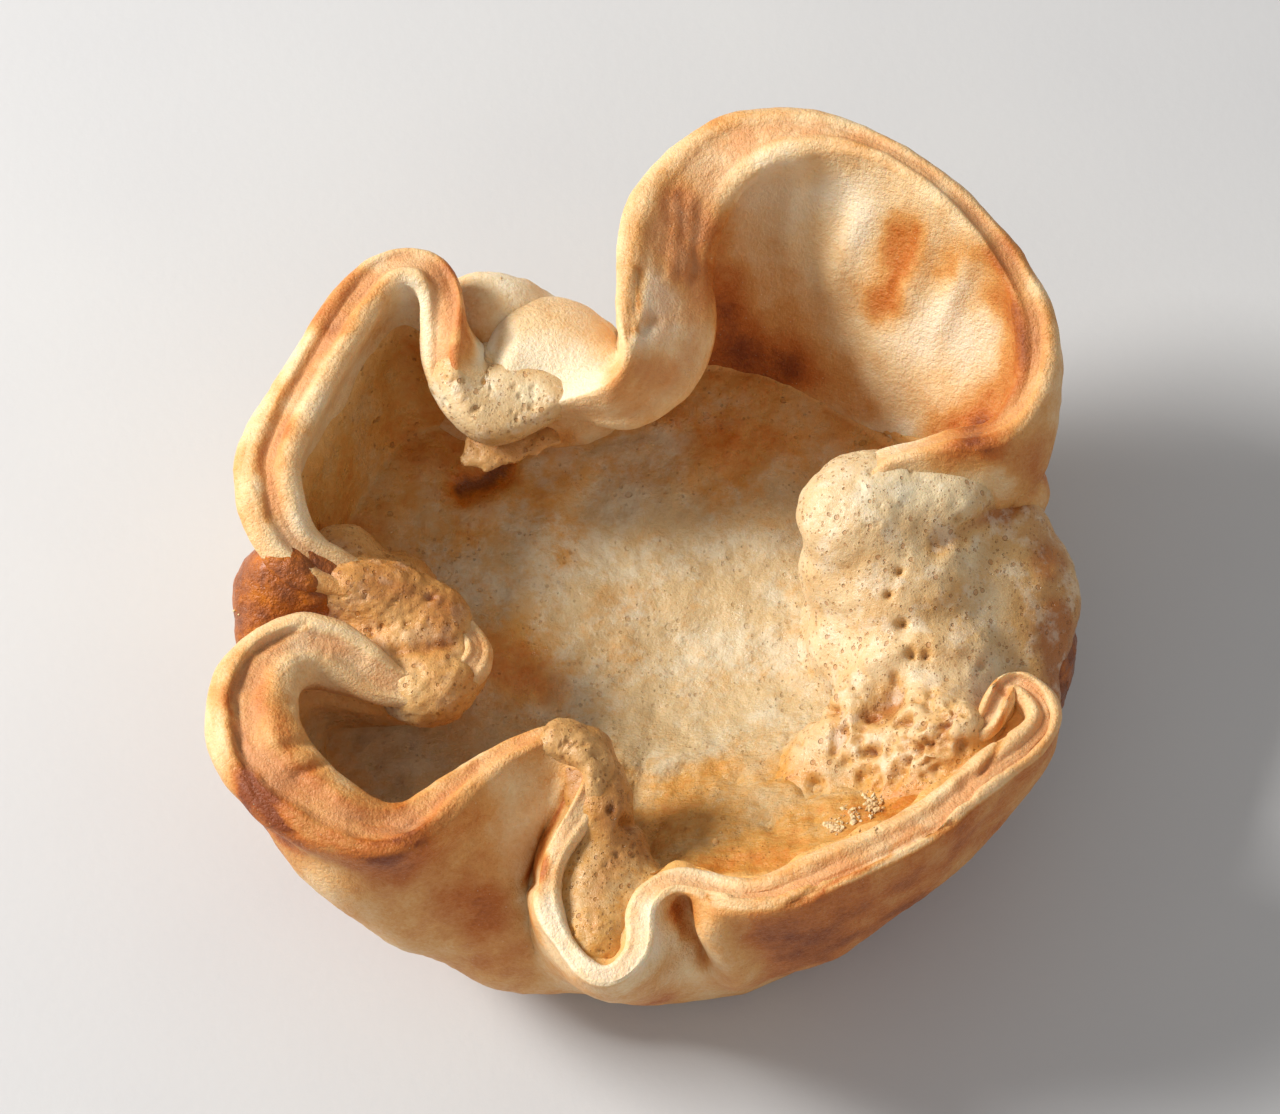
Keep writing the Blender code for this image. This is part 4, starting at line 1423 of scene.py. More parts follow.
@dataclass
class FillingBed:
    """The sunken filling and the coat that it left on the walls, one closed skin."""

    SEED = 23
    SWAY, SWAY_SIZE = 0.8, 3.0
    DISC = (0.05, 0.5)  # rows of the underside, as shares of its radius

    columns: int = 900
    under_rows: int = 18
    coat_rows: int = 24
    floor_rows: int = 66
    floor_level: float = 11.5
    middle: tuple = (1.5, 1.0)
    reach: float = 0.45  # share of the way in for which the floor keeps its level
    sunk: float = 0.8  # of the underside, in the dough
    relief_rows: float = 8.0  # over which the relief comes in from the rim
    coat_fade: tuple = (-4.0, 14.0)  # rows about the end of the coat that turn into floor
    skirt_rows: float = 6.0
    window: int = 90  # the round over this is the reach of the smoothing from column to column

    def build(self) -> bpy.types.Object:
        """Lays the skin, gives it its relief and colours, and makes the piece.

        Returns:
            The object.
        """
        sheet = Sheet(self.columns)
        noise = Noise(self.SEED)
        skin = self.lay(sheet)
        points = skin.rows
        lumps = 0.35 * noise.layered(points, 5.0, 3) + 0.12 * noise.layered(points, 1.3, 2)
        seen = Viewpoint.seen(points)
        lumps += sum(mark.lift * mark.weight(seen) for mark in BED_MARKS)
        slope = ease(-points[..., 1], 4.0, 12.0) * ease(points[..., 2], 11.6, 13.5)  # up to the front wall
        lumps += 0.3 * slope * noise.layered(points, 1.8, 3)
        skin.lift(lumps * self.shown)
        skin.attributes["toast_and_shade"][:] = self.toast_and_shade_at(points, skin.attributes["floor"])
        obj = skin.build("filling_bed")
        obj.data.materials.append(FillingFinish().make())
        return obj

    def lay(self, sheet: Sheet) -> Skin:
        """Underside within the dough, coat up the wall, and floor.

        Args:
            sheet: the dough that it lies in.

        Returns:
            The smooth skin.
        """
        even = self.columns // self.window
        size = np.linalg.norm(sheet.half, axis=2)[..., None]
        coat = sheet.rim_path.value("coat")[None, :, None]
        wall = sheet.middle - sheet.half * (size + coat) / size
        skin_in = sheet.middle - sheet.half * (size - self.sunk) / size
        low = sheet.row_where(-wall[:, :, 2], -sheet.level)
        top = closed_smooth(np.clip(np.minimum(sheet.row_at(sheet.bare), low - 3), 0.2, None), even)
        contact = np.maximum(closed_smooth(low, even), top + 1)
        rows = [flat_row(sheet.middle[-1], share, sheet.DOUGH / 2) for share in self.DISC]
        for share in np.linspace(1, 0, self.under_rows):
            rows.append(sheet.read(skin_in, top + share * (len(wall) - 1 - top)))
        for share in np.linspace(0, 1, self.coat_rows):
            row = top + share * (contact - top)
            swell = ease(share, 0.0, 0.35)
            rows.append(sheet.read(wall, row) * swell + sheet.read(skin_in, row) * (1 - swell))
        edge = closed_smooth(rows[-1], even)
        middle = np.array([*self.middle, self.floor_level])
        knee = middle + (edge - middle) * (1 - self.reach)
        knee[:, 2] = self.floor_level
        for share in np.linspace(0, 1, self.floor_rows)[1:-1]:
            back = 1 - share
            row = edge * back**2 + knee * (2 * share * back) + middle * share**2
            rows.append(closed_smooth(row, int(even * (1 + 9 * share))))
        rows = np.array(rows)
        under = len(self.DISC) + self.under_rows
        coated = under + self.coat_rows
        order = np.arange(len(rows))
        shown = ease(order, under, under + self.relief_rows)[:, None]
        floor = ease(order, coated + self.coat_fade[0], coated + self.coat_fade[1])[:, None]
        shape = rows.shape[:2]
        self.shown = np.broadcast_to(shown, shape)
        reach = self.rim_depth(sheet, contact) - self.rim_depth(sheet, top)
        skirt = np.clip((order - under) / (self.coat_rows - 1.0), 0, 1)[:, None] * reach
        skirt = skirt / sheet.rim_path.value("fade")
        skirt = skirt + 3 * ease(order, coated, coated + self.skirt_rows)[:, None]
        return Skin(rows, toast_and_shade=np.zeros(shape), floor=np.broadcast_to(floor, shape).copy(), skirt=skirt)

    @staticmethod
    def rim_depth(sheet: Sheet, row: np.ndarray) -> np.ndarray:
        """How far below the rim the (fractional) rows lie.

        Args:
            sheet: the dough.
            row: one row for every column.

        Returns:
            The depths in mm.
        """
        low = np.clip(np.floor(row).astype(int), 0, len(sheet.depth) - 2)
        columns = np.arange(sheet.count)
        here, following = sheet.depth[low, columns], sheet.depth[low + 1, columns]
        return here + (following - here) * (row - low)

    @classmethod
    def toast_and_shade_at(cls, points: np.ndarray, floor: np.ndarray) -> np.ndarray:
        """Browner up the walls and on the slope at the front, painted shade on the left and under the pleats.

        Args:
            points: places in mm.
            floor: how much of each is floor.

        Returns:
            How far each is browned, painted shade included.
        """
        noise = Noise(cls.SEED)
        x, y, z = np.moveaxis(points, -1, 0)
        slope = ease(-y, 4.0, 14.0) * ease(z, 11.6, 14.0)
        toast_and_shade = 0.5 * (1 - floor) + 0.1 * floor + 0.4 * slope * floor
        # painted shade: the floor darker on the left, where the left wall's shadow falls
        toast_and_shade += 0.15 * floor * ease(-x, 6.0, 16.0)
        # painted shade: the floor darker at the back, under the pleats
        toast_and_shade += 0.2 * floor * ease(y, 10.0, 22.0)
        seen = Viewpoint.seen(points)
        seen = seen + cls.SWAY * noise.sway(points, cls.SWAY_SIZE)
        for mark in BED_MARKS:
            toast_and_shade += mark.toast_and_shade * mark.weight(seen)
        return toast_and_shade + 0.1 * noise.layered(points, 4.0)


class Ground:
    """The bed's surface, for the masses that run into it."""

    ABOVE = 60.0  # height from which the bed is felt for
    STEEPEST = 1.6  # rise over run beyond which a slab leaves it out

    def __init__(self, bed: bpy.types.Object) -> None:
        """Reads the bed's mesh."""
        corners = [vert.co / MM for vert in bed.data.vertices]
        self.tree = BVHTree.FromPolygons(corners, [tuple(face.vertices) for face in bed.data.polygons])

    def gaps(self, points: np.ndarray) -> np.ndarray:
        """How far points are from the bed's surface, in mm."""
        return np.array([self.tree.find_nearest(Vector(point))[3] for point in points])

    def slab(self, low: tuple, high: tuple, pitch: float = 0.5, sunk: float = 0.3,
             thick: float = 1.8) -> bpy.types.Object:
        """A slab that lies just under the bed's surface within a box in plan, without its steep parts.

        Args:
            low: low corner of the box.
            high: high corner.
            pitch: spacing of its points.
            sunk: how far under the surface its top lies.
            thick: its thickness.

        Returns:
            The object.
        """
        across, along = np.arange(low[0], high[0], pitch), np.arange(low[1], high[1], pitch)
        tops = np.full((len(across), len(along)), np.nan)
        for i, x in enumerate(across):
            for j, y in enumerate(along):
                place = self.tree.ray_cast(Vector((x, y, self.ABOVE)), Vector((0, 0, -1)))[0]
                if place is not None:
                    tops[i, j] = place.z - sunk
        index = np.arange(tops.size).reshape(tops.shape)
        corners = (index[:-1, :-1], index[1:, :-1], index[1:, 1:], index[:-1, 1:])
        heights = np.stack([tops.ravel()[part] for part in corners])
        kept = np.isfinite(heights).all(axis=0) & (np.ptp(heights, axis=0) < self.STEEPEST * pitch)
        quads = np.stack(corners, axis=-1)[kept]
        edges = {tuple(edge) for i in range(4) for edge in quads[:, [i, (i + 1) % 4]].tolist()}
        walls = [(b, a, a + tops.size, b + tops.size) for a, b in edges if (b, a) not in edges]
        faces = quads.tolist() + (quads[:, ::-1] + tops.size).tolist() + walls
        grid = np.stack(np.meshgrid(across, along, indexing="ij"), axis=-1).reshape(-1, 2)
        height = np.nan_to_num(tops.ravel())[:, None]
        points = np.vstack([np.hstack([grid, height]), np.hstack([grid, height - thick])])
        return add_mesh("slab", points, faces)


@dataclass(frozen=True)
class Swell:
    """A rounded mass of filling: middle, half sizes, turn about Z and tilt down to +X in degrees."""

    middle: tuple
    half: tuple
    turn: float = 0.0
    tilt: float = 0.0


@dataclass
class Mound:
    """A rounded mass: swells run together, then given their relief."""

    name: str
    swells: tuple
    surface: "Relief"
    coarse_voxel: float = 0.6
    voxel: float = 0.24
    blending: int = 10
    smoothing: int = 6
    spread: float = 0.0

    def build(self, ground: Ground) -> bpy.types.Object:
        """Models the mass, run into the bed around it for spread mm, then roughens it.

        Args:
            ground: the bed.

        Returns:
            The object.
        """
        bpy.ops.object.select_all(action="DESELECT")
        parts = []
        if self.spread:
            middles = np.array([swell.middle for swell in self.swells])
            reach = np.array([max(swell.half) for swell in self.swells])[:, None]
            low, high = (middles - reach).min(axis=0), (middles + reach).max(axis=0)
            parts.append(ground.slab(low - self.spread, high + self.spread))
        for swell in self.swells:
            bpy.ops.mesh.primitive_ico_sphere_add(
                subdivisions=4, radius=1, location=Vector(swell.middle) * MM,
                rotation=(0, math.radians(swell.tilt), math.radians(swell.turn)),
                scale=Vector(swell.half) * MM)
            parts.append(bpy.context.object)
        obj = join(parts, parts[0], self.name)
        self.apply(obj, "REMESH", mode="VOXEL", voxel_size=self.coarse_voxel * MM)
        self.apply(obj, "SMOOTH", factor=0.5, iterations=self.blending)
        self.apply(obj, "REMESH", mode="VOXEL", voxel_size=self.voxel * MM)
        self.apply(obj, "SMOOTH", factor=0.5, iterations=self.smoothing)
        self.surface.roughen(obj, ground=ground if self.spread else None)
        obj.data.materials.append(self.surface.finish.make())
        return obj

    @staticmethod
    def apply(obj: bpy.types.Object, kind: str, **settings: object) -> None:
        """Adds a modifier and applies it.

        Args:
            obj: the object.
            kind: type of the modifier.
            **settings: its properties.
        """
        modifier = obj.modifiers.new(kind.lower(), kind)
        for key, value in settings.items():
            setattr(modifier, key, value)
        bpy.ops.object.modifier_apply(modifier=modifier.name)


@dataclass(frozen=True)
class Drape:
    """Filling that lies on the sheet like a cloth, from its inner face over the edge.

    start and end are plan places near the rim between which it lies (clockwise), inside and
    outside how far down it may reach, and patches the marks that give its thickness.
    """

    name: str
    start: tuple
    end: tuple
    patches: tuple
    surface: "Relief"
    inside: float
    outside: float
    thick: float
    seed: int
    columns: int = 2400
    pitch: float = 0.14
    sunk: float = 0.5
    sway: float = 0.4
    sway_size: float = 3.0
    border: int = 12  # rows and columns in which it runs out

    def build(self, ground: Ground) -> bpy.types.Object:
        """Lays the cloth, closes it from below and makes the piece.

        Args:
            ground: the bed, which it never reaches.

        Returns:
            The object.
        """
        sheet = Sheet(self.columns)
        first, last = (int(np.argmin(np.hypot(*(sheet.rim_path.plan - place).T)))
                       for place in (self.start, self.end))
        columns = np.arange(first, last + (sheet.count if last < first else 0)) % sheet.count
        inside = np.arange(self.inside, 0, -self.pitch * 1.3)
        outside = np.arange(0, self.outside, self.pitch * 1.3)
        edge = int(sheet.lip[columns].mean() / self.pitch / 1.1)
        rows = sheet.plain_rows(inside, edge, outside)
        normal = grid_normals(rows)
        way = np.sign(np.sum(normal[-4] * sheet.half[4]))
        rows, normal = rows[:, columns], normal[:, columns] * way
        seen = Viewpoint.seen(rows)
        noise = Noise(self.seed)
        seen = seen + self.sway * noise.sway(rows, self.sway_size, apart=17)
        cover = np.max([mark.weight(seen) for mark in self.patches], axis=0)
        from_ends = [np.minimum(np.arange(size), np.arange(size)[::-1]) for size in cover.shape]
        cover *= ease(np.minimum.outer(*from_ends), 0, self.border)
        height = self.thick * ease(cover, 0.25, 0.9) - self.sunk * (1 - ease(cover, 0.0, 0.35))
        top = rows + normal * height[..., None]
        under = rows - normal * (self.sunk + 0.15)
        obj = self.close(top, under, way)
        weight = np.concatenate([cover.ravel(), np.zeros(cover.size)])
        self.surface.roughen(obj, weight)
        obj.data.materials.append(self.surface.finish.make())
        return obj

    def close(self, top: np.ndarray, under: np.ndarray, way: float) -> bpy.types.Object:
        """Both faces of the cloth, stitched at the border.

        Args:
            top: rows of points of the upper face.
            under: those of the lower face.
            way: which way the rows run, 1 or -1.

        Returns:
            The object.
        """
        high, wide, _ = top.shape
        index = np.arange(high * wide).reshape(high, wide)
        quads = np.stack([index[:-1, :-1], index[:-1, 1:], index[1:, 1:], index[1:, :-1]], axis=-1)
        quads = quads.reshape(-1, 4)
        if way < 0:
            quads = quads[:, ::-1]
        below = quads[:, ::-1] + high * wide
        ring = np.concatenate([index[0, :-1], index[:-1, -1], index[-1, :0:-1], index[:0:-1, 0]])
        following = np.roll(ring, -1)
        wall = np.stack([ring, following, following + high * wide, ring + high * wide], axis=-1)
        if way > 0:
            wall = wall[:, ::-1]
        points = np.vstack([top.reshape(-1, 3), under.reshape(-1, 3)])
        return add_mesh(self.name, points, np.vstack([quads, below, wall]).tolist())


@dataclass(frozen=True)
class Pores:
    """Round open pores of mixed sizes: how many, their radii and how deep for their radius."""

    count: int
    least: float
    largest: float
    depth: float = 1.0
    zone: Mark | None = None


@dataclass(frozen=True)
class Relief:
    """Lumps, fine roughness, pores and browning of a mass, with painted shade in its pores.

    rough and sandy are the heights of its lumps and of its finest grain in mm, and merge is how
    far from the bed it takes on the bed's own colour.
    """

    finish: Finish
    seed: int = 1
    pores: tuple = ()
    rough: float = 0.1
    sandy: float = 0.0
    toast_and_shade: float = 0.2
    marks: tuple = ()
    merge: float = 2.2

    def roughen(self, obj: bpy.types.Object, weight: np.ndarray | None = None,
                ground: Ground | None = None) -> None:
        """Gives the mesh its relief, where weight is high, and its browning, the bed's own near it,
        with painted shade in its pores.

        Args:
            obj: the smooth mass.
            weight: how much of the relief each point takes, 0 to 1.
            ground: the bed, where the mass runs into it.
        """
        mesh = obj.data
        points = np.empty(len(mesh.vertices) * 3)
        mesh.vertices.foreach_get("co", points)
        points = points.reshape(-1, 3) / MM
        normals = np.array([vert.normal for vert in mesh.vertices])
        shown = np.ones(len(points)) if weight is None else ease(weight, 0.3, 0.7)
        noise = Noise(self.seed)
        lift = self.rough * (1.2 * noise.layered(points, 3.0, 2) + 0.6 * noise.layered(points, 0.9, 2))
        lift += self.sandy * noise.layered(points, 0.5, 2)
        sunk = self.sink(points, np.flatnonzero(shown > 0.6))
        # pores browned as deep as they sink: painted shade in them
        amount = self.toast_and_shade + 0.15 * noise.layered(points, 2.5) - np.clip(sunk, -0.6, 0) * 0.6
        seen = Viewpoint.seen(points)
        sway = noise.sway(points, 2.0)
        for mark in self.marks:
            share = mark.weight(seen + sway * (0.5 if mark.half > 1 else 0.3 * mark.half))
            lift += mark.lift * share
            amount += mark.toast_and_shade * share
        lift = (lift + sunk) * shown
        mesh.vertices.foreach_set("co", ((points + normals * lift[:, None]) * MM).ravel())
        settled = np.zeros(len(points))
        if ground is not None:
            settled = 1 - ease(ground.gaps(points), 0.4, self.merge)
        store(mesh, "toast_and_shade", amount)
        store(mesh, "settled", settled)
        store(mesh, "bed_toast_and_shade", FillingBed.toast_and_shade_at(points, np.ones(len(points))))
        mesh.update()
        mesh.shade_smooth()

    def sink(self, points: np.ndarray, eligible: np.ndarray) -> np.ndarray:
        """How far the pores sink every point, in mm (0 or less).

        Args:
            points: places in mm.
            eligible: indices of the points that may hold a pore.

        Returns:
            The moves.
        """
        sunk = np.zeros(len(points))
        if not self.pores:
            return sunk
        noise = Noise(self.seed + 50)
        warp = 0.3 * np.stack([noise.layered(points + 9 * i, 1.1, 2) for i in range(3)], axis=-1)
        bent = points + warp
        tree = KDTree(len(points))
        for i, point in enumerate(bent):
            tree.insert(point, i)
        tree.balance()
        random = np.random.default_rng(self.seed)
        seen = Viewpoint.seen(points)
        for pores in self.pores:
            chosen = eligible
            if pores.zone:
                chosen = eligible[pores.zone.weight(seen[eligible]) > 0.5]
            centres = bent[random.choice(chosen, pores.count)]
            radii = pores.least + (pores.largest - pores.least) * random.random(pores.count) ** 2
            sunk += dent(tree, len(points), centres, radii, pores.depth)
        return sunk


CRUST = FrothFinish("crust", pale=rgb(228, 188, 128), tan=rgb(206, 148, 80), brown=rgb(164, 94, 34),
                    painted_glint_share=0.12)
DARK_CRUST = FrothFinish("dark_crust", pale=rgb(212, 172, 114), tan=rgb(188, 134, 72),
                         brown=rgb(150, 90, 34), painted_glint_share=0.03)

# torn cells: seen place, half width and depth; deeper cells darker, as painted shade
CELL_SIZES = (
    (20.4, 11.7, 0.3, 0.8), (19.4, 9.7, 0.3, 0.7), (20.6, 7.2, 0.45, 0.9), (21.4, 4.9, 0.5, 0.9),
    (22.6, 4.8, 0.4, 0.8), (18.8, 0.8, 1.5, 1.3), (23.8, -0.5, 0.9, 1.0), (22.6, 0.8, 0.5, 0.8),
    (13.3, -0.3, 0.4, 0.8), (14.9, -3.3, 0.35, 0.7), (18.1, -3.3, 0.6, 0.9), (19.4, -3.3, 0.35, 0.6),
    (21.3, -3, 0.65, 1.0), (22.8, -2.8, 0.4, 0.7), (20.9, -3.9, 0.35, 0.6), (15.8, -4.2, 0.4, 0.6),
    (20.4, -5.2, 0.6, 0.7), (25.6, -2.8, 0.5, 0.9), (27.2, 3.8, 0.3, 0.6), (13.4, -6.1, 0.6, 1.0),
    (15.2, -0.1, 0.8, 0.5), (23, 1.8, 0.4, 0.5), (19.8, 1.8, 1.0, 0.9), (17.4, 0, 0.9, 0.8),
    (24.6, 0.5, 0.6, 0.6), (16.9, -2.2, 0.5, 0.6), (12.1, -2.5, 0.3, 0.5), (23.4, -4.8, 0.5, 0.6),
    (20.8, -0.7, 0.5, 0.7), (17.2, -5.7, 0.5, 0.5),
)
CELLS = tuple(Mark("torn cell", ((x, y),), half, lift=-depth, toast_and_shade=0.35 * depth + 0.1)
              for x, y, half, depth in CELL_SIZES)
TORN = Mark("torn crumb", ((17.1, 0.2), (22.9, -0.7), (19.6, -4)), 3.4, flat=2)

MASSES = (
    Mound("rear_flank", (Swell((-13.8, 26.6, 18.4), (6.6, 4.8, 7.4)),
                         Swell((-8.8, 25.6, 15.6), (7, 4.1, 7.6)),
                         Swell((-13.2, 21.6, 21.2), (2.2, 3.6, 3.2)),
                         Swell((-11.4, 23.4, 10), (9.6, 4.6, 9))),
          Relief(PastryFinish(), seed=12, rough=0.1, toast_and_shade=0.36, marks=(
              Mark("pale top", ((-14.6, 36.8), (-4.6, 33.5)), 1.4, toast_and_shade=-0.25),)), blending=50),
    Mound("right_flank", (Swell((29, 11.8, 17.6), (3.8, 3.8, 4.8)),),
          Relief(PastryFinish(), seed=14, rough=0.12, toast_and_shade=0.6)),
    Drape("froth_rear", (-17.5, 23), (-4.2, 16.2), (
        Mark("froth", ((-18.3, 26), (-10.8, 25.6)), 3.0, flat=2),
        Mark("froth", ((-16.7, 22.7), (-10.4, 23.5)), 2.6, flat=2)),
        Relief(FrothFinish(), seed=3, pores=(Pores(110, 0.14, 0.42, 0.5),), rough=0.05, toast_and_shade=0.3, marks=(
            Mark("glint", ((-18.2, 26),), 1.2, toast_and_shade=-0.4), Mark("glint", ((-10.6, 26.6),), 1.0, toast_and_shade=-0.4),
            Mark("brown lip", ((-16.7, 20.6), (-11.2, 21.4), (-7.1, 23.1)), 1.2, toast_and_shade=0.5))),
        inside=5.5, outside=7, thick=0.45, seed=55),
    Mound("ragged_lip", (
        Swell((-15.4, 13.7, 20), (1.1, 1, 0.5)), Swell((-14, 13.8, 20), (1.6, 1.3, 0.6), 10),
        Swell((-12, 14.4, 20.1), (1.5, 1.5, 0.5)), Swell((-10.2, 14.9, 20.2), (1.4, 1.2, 0.5), 20),
        Swell((-8.8, 15.7, 20.4), (1.4, 1.2, 0.5)), Swell((-12.4, 15.8, 20.2), (4, 2, 0.8), 12)),
        Relief(CRUST, seed=17, rough=0.12, sandy=0.14, toast_and_shade=0.45), blending=1),
    Mound("froth_right", (
        Swell((17.4, 7.6, 22.4), (6.2, 5.4, 3.9), 20), Swell((22.4, 8.8, 21.2), (5.8, 4.4, 4.4)),
        Swell((19.6, 9.4, 22.4), (4, 3.6, 3.8)), Swell((28.8, 8.4, 16.6), (3.9, 4.8, 4.8)),
        Swell((20.4, 4, 19), (6.8, 7, 5.2)), Swell((31.4, 4.8, 16.2), (2.9, 4.2, 2.8)),
        Swell((26, 4, 16.8), (9.5, 8.5, 4), 0, 12), Swell((22, -3.5, 18.2), (6, 7.5, 3.4), 25),
        Swell((31.8, 1.6, 14.4), (2.8, 5.4, 3.2)),
        Swell((21.5, -9.8, 17), (8.2, 7, 3.8), -25), Swell((17, -12, 15.2), (6.6, 5.6, 3.4)),
        Swell((22.8, -10.2, 18.8), (4.6, 4, 4)), Swell((21.5, -15, 18.4), (5, 3.6, 3.2), -35),
        Swell((22.4, -12.6, 21), (2.8, 2.8, 2.9)), Swell((24, -11.8, 21.8), (2.6, 2.5, 3.5)),
        Swell((15.6, 4.2, 18.2), (4, 4.4, 4.6)), Swell((30.2, -4.6, 13.4), (3.2, 4.6, 4.6)),
        Swell((16.4, -0.6, 15.2), (4, 5, 3.8)), Swell((16, 0, 11.4), (4.4, 10, 2.6))),
        Relief(FrothFinish(), seed=4, rough=0.14, toast_and_shade=0.16, pores=(
            Pores(60, 0.2, 0.4, 0.7, Mark("nose", ((16.2, 19.3), (22.1, 16)), 4.0, flat=2)),
            Pores(26, 0.5, 1.1, 0.6, TORN), Pores(160, 0.25, 0.55, 0.9, TORN)), marks=(
            *CELLS,
            Mark("nose", ((15.4, 18.5), (20.4, 18.5)), 3.4, toast_and_shade=-0.1),
            Mark("valley", ((20.4, 10.2), (29.6, 10.2)), 4.5, toast_and_shade=0.22),
            Mark("golden crumb", ((15.4, -1.5), (22.9, -1.5)), 4.5, toast_and_shade=0.16),
            Mark("ridge", ((17.9, 4), (22.1, 5.6), (27.5, 5.3)), 0.9, lift=0.5, toast_and_shade=0.1),
            Mark("whitish flank", ((23.3, 19.2), (27.9, 18.9)), 1.5, toast_and_shade=-0.2),
            # darkening along the crease is painted shade
            Mark("crease", ((32.5, 20.5), (28.8, 16.7), (23.3, 14)), 1.0, lift=-0.5, toast_and_shade=0.5),
            Mark("rough overflow", ((32.9, 11.4), (33.8, 8.5)), 2.0, lift=0.2, toast_and_shade=0.3),
            Mark("brown overflow", ((33.3, 6.8), (33.8, 2.7)), 2.4, toast_and_shade=0.9),
            Mark("brown side", ((29.6, 17.2), (32.5, 13.5)), 2.4, toast_and_shade=0.55)), merge=2.4),
        blending=14, spread=3.0),
    Mound("boiled_over_right", (Swell((32.1, 0.4, 11.6), (3, 5.8, 4.4)),
                                Swell((32.2, -1.2, 8.8), (2, 4.8, 4.8))),
          Relief(CaramelFinish(), seed=5, pores=(Pores(60, 0.15, 0.5),), rough=0.22, toast_and_shade=0.3), blending=20),
    Mound("crust_left", (
        Swell((-25, 0.9, 22), (3.5, 2.8, 2.9)), Swell((-22.6, 0.4, 21.3), (4.6, 3.3, 3)),
        Swell((-25.8, 4.4, 19.2), (3.6, 3.4, 3.6)), Swell((-22, 3.2, 16.8), (4.2, 3.4, 3.2)),
        Swell((-18.4, -1.2, 20.2), (3.8, 3.4, 2.8)), Swell((-20.4, -4.4, 19.6), (6, 3.6, 3)),
        Swell((-18.4, -7, 19.9), (4.2, 3.4, 2.8))),
        Relief(CRUST, seed=7, pores=(Pores(90, 0.15, 0.45, 0.8,
                                           Mark("bubbly", ((-27.9, 9.3), (-17.9, 7.2)), 2.6, flat=2)),),
               rough=0.15, sandy=0.09, toast_and_shade=0.2, marks=(
               Mark("glint", ((-20.8, 0.6),), 1.2, toast_and_shade=-0.5),
               Mark("brown", ((-29.6, 12.7), (-22.9, 11.4), (-17.1, 8.1)), 3.4, toast_and_shade=0.5),
               # darkening along the crease is painted shade
               Mark("crease", ((-21.7, 5.2), (-17.1, 5.6)), 0.5, lift=-0.4, toast_and_shade=0.3),
               Mark("orange end", ((-16.7, 1.8), (-17.9, -0.7)), 1.6, toast_and_shade=0.3)), merge=2.6),
        spread=3.0),
    Mound("leak_left", (Swell((-30.6, 1.4, 19.2), (4.2, 4, 5.6)), Swell((-29.4, 2.2, 23), (3.9, 3, 2.7), 10),
                        Swell((-27.4, 1.2, 22), (3.6, 3, 2.9)), Swell((-31.4, -1.6, 17.6), (3.3, 3, 4.4))),
          Relief(CaramelFinish(), seed=8, rough=0.14, toast_and_shade=0.12), blending=24),
    Drape("leak_glaze", (-21, -0.4), (-31.6, 8), (
        Mark("leak", ((-33.2, 10.2), (-30.6, 10.3)), 2.7, flat=2),),
        Relief(CaramelFinish(), seed=18, rough=0.16, toast_and_shade=0.0), inside=3, outside=10, thick=0.5, seed=60),
    Drape("crust_tip", (-6.5, -21), (-13.5, -15.6), (
        Mark("crust", ((-7.1, -2.2), (-4.6, -3.3), (-4.1, -6.1)), 1.9, flat=2),),
        Relief(DARK_CRUST, seed=19, pores=(Pores(26, 0.15, 0.4, 0.7),), rough=0.16, sandy=0.08, toast_and_shade=0.34),
        inside=3, outside=5, thick=0.6, seed=69),
    Mound("crust_front", (Swell((-6.6, -14, 23), (3.5, 2.4, 2.5)),
                          Swell((-4.6, -17.8, 22.4), (2.9, 4.2, 2.8), 12),
                          Swell((-4.4, -24, 19.9), (4.5, 7, 3.1)),
                          Swell((-4.5, -28.5, 20.3), (3.4, 3.7, 2.8))),
          Relief(DARK_CRUST, seed=9, pores=(Pores(90, 0.15, 0.45, 0.9),), rough=0.16, sandy=0.06,
                 toast_and_shade=0.65, marks=(
              # darkening in the holes is painted shade
              Mark("hole", ((-5.1, -4.2),), 0.35, lift=-0.7, toast_and_shade=0.6),
              Mark("hole", ((-3.7, -8.2),), 0.35, lift=-0.7, toast_and_shade=0.6),
              Mark("hole", ((-1.8, -9.5), (-2.4, -9.2)), 0.45, lift=-0.8, toast_and_shade=0.6),
              Mark("pale", ((-7.9, -11.5), (-6.2, -17.3), (-4.6, -18.6)), 1.1, toast_and_shade=-0.15)), merge=2.4),
          blending=14, spread=3.0),
)


@dataclass(frozen=True)
class Crumbs:
    """Loose crumbs of pastry, lying where they are seen. spots are (seen place, how many, spread)."""

    spots: tuple
    least: float = 0.07
    spare: float = 0.25
    flattest: tuple = (0.8, 0.6, 0.35)
    roundest: tuple = (1.5, 1.2, 0.8)
    ragged: float = 0.04
    seed: int = 5

    def build(self, ground: Ground) -> bpy.types.Object:
        """Finds the surface under every crumb, and makes them one piece.

        Args:
            ground: the bed, not needed: the lines of sight find every surface.

        Returns:
            The object.
        """
        random = np.random.default_rng(self.seed)
        graph = bpy.context.evaluated_depsgraph_get()
        found = []
        for spot, count, spread in self.spots:
            for _ in range(count):
                seen = np.array(spot) + random.normal(0, spread, 2)
                hit, place, *_ = bpy.context.scene.ray_cast(graph, *Viewpoint.sight(seen))
                if hit:
                    found.append(place)
        bpy.ops.object.select_all(action="DESELECT")
        parts = []
        for place in found:
            size = self.least + self.spare * random.random() ** 3
            bpy.ops.mesh.primitive_ico_sphere_add(
                subdivisions=2, radius=size * MM, location=place, rotation=random.uniform(0, 3, 3),
                scale=random.uniform(self.flattest, self.roundest))
            parts.append(bpy.context.object)
        obj = join(parts, parts[-1], "crumbs")
        for vert in obj.data.vertices:
            vert.co += vert.normal * random.normal(0, self.ragged) * MM
        Relief(PastryFinish(), seed=16, rough=0.02, toast_and_shade=0.3).roughen(obj)
        obj.data.materials.append(PastryFinish().make())
        return obj


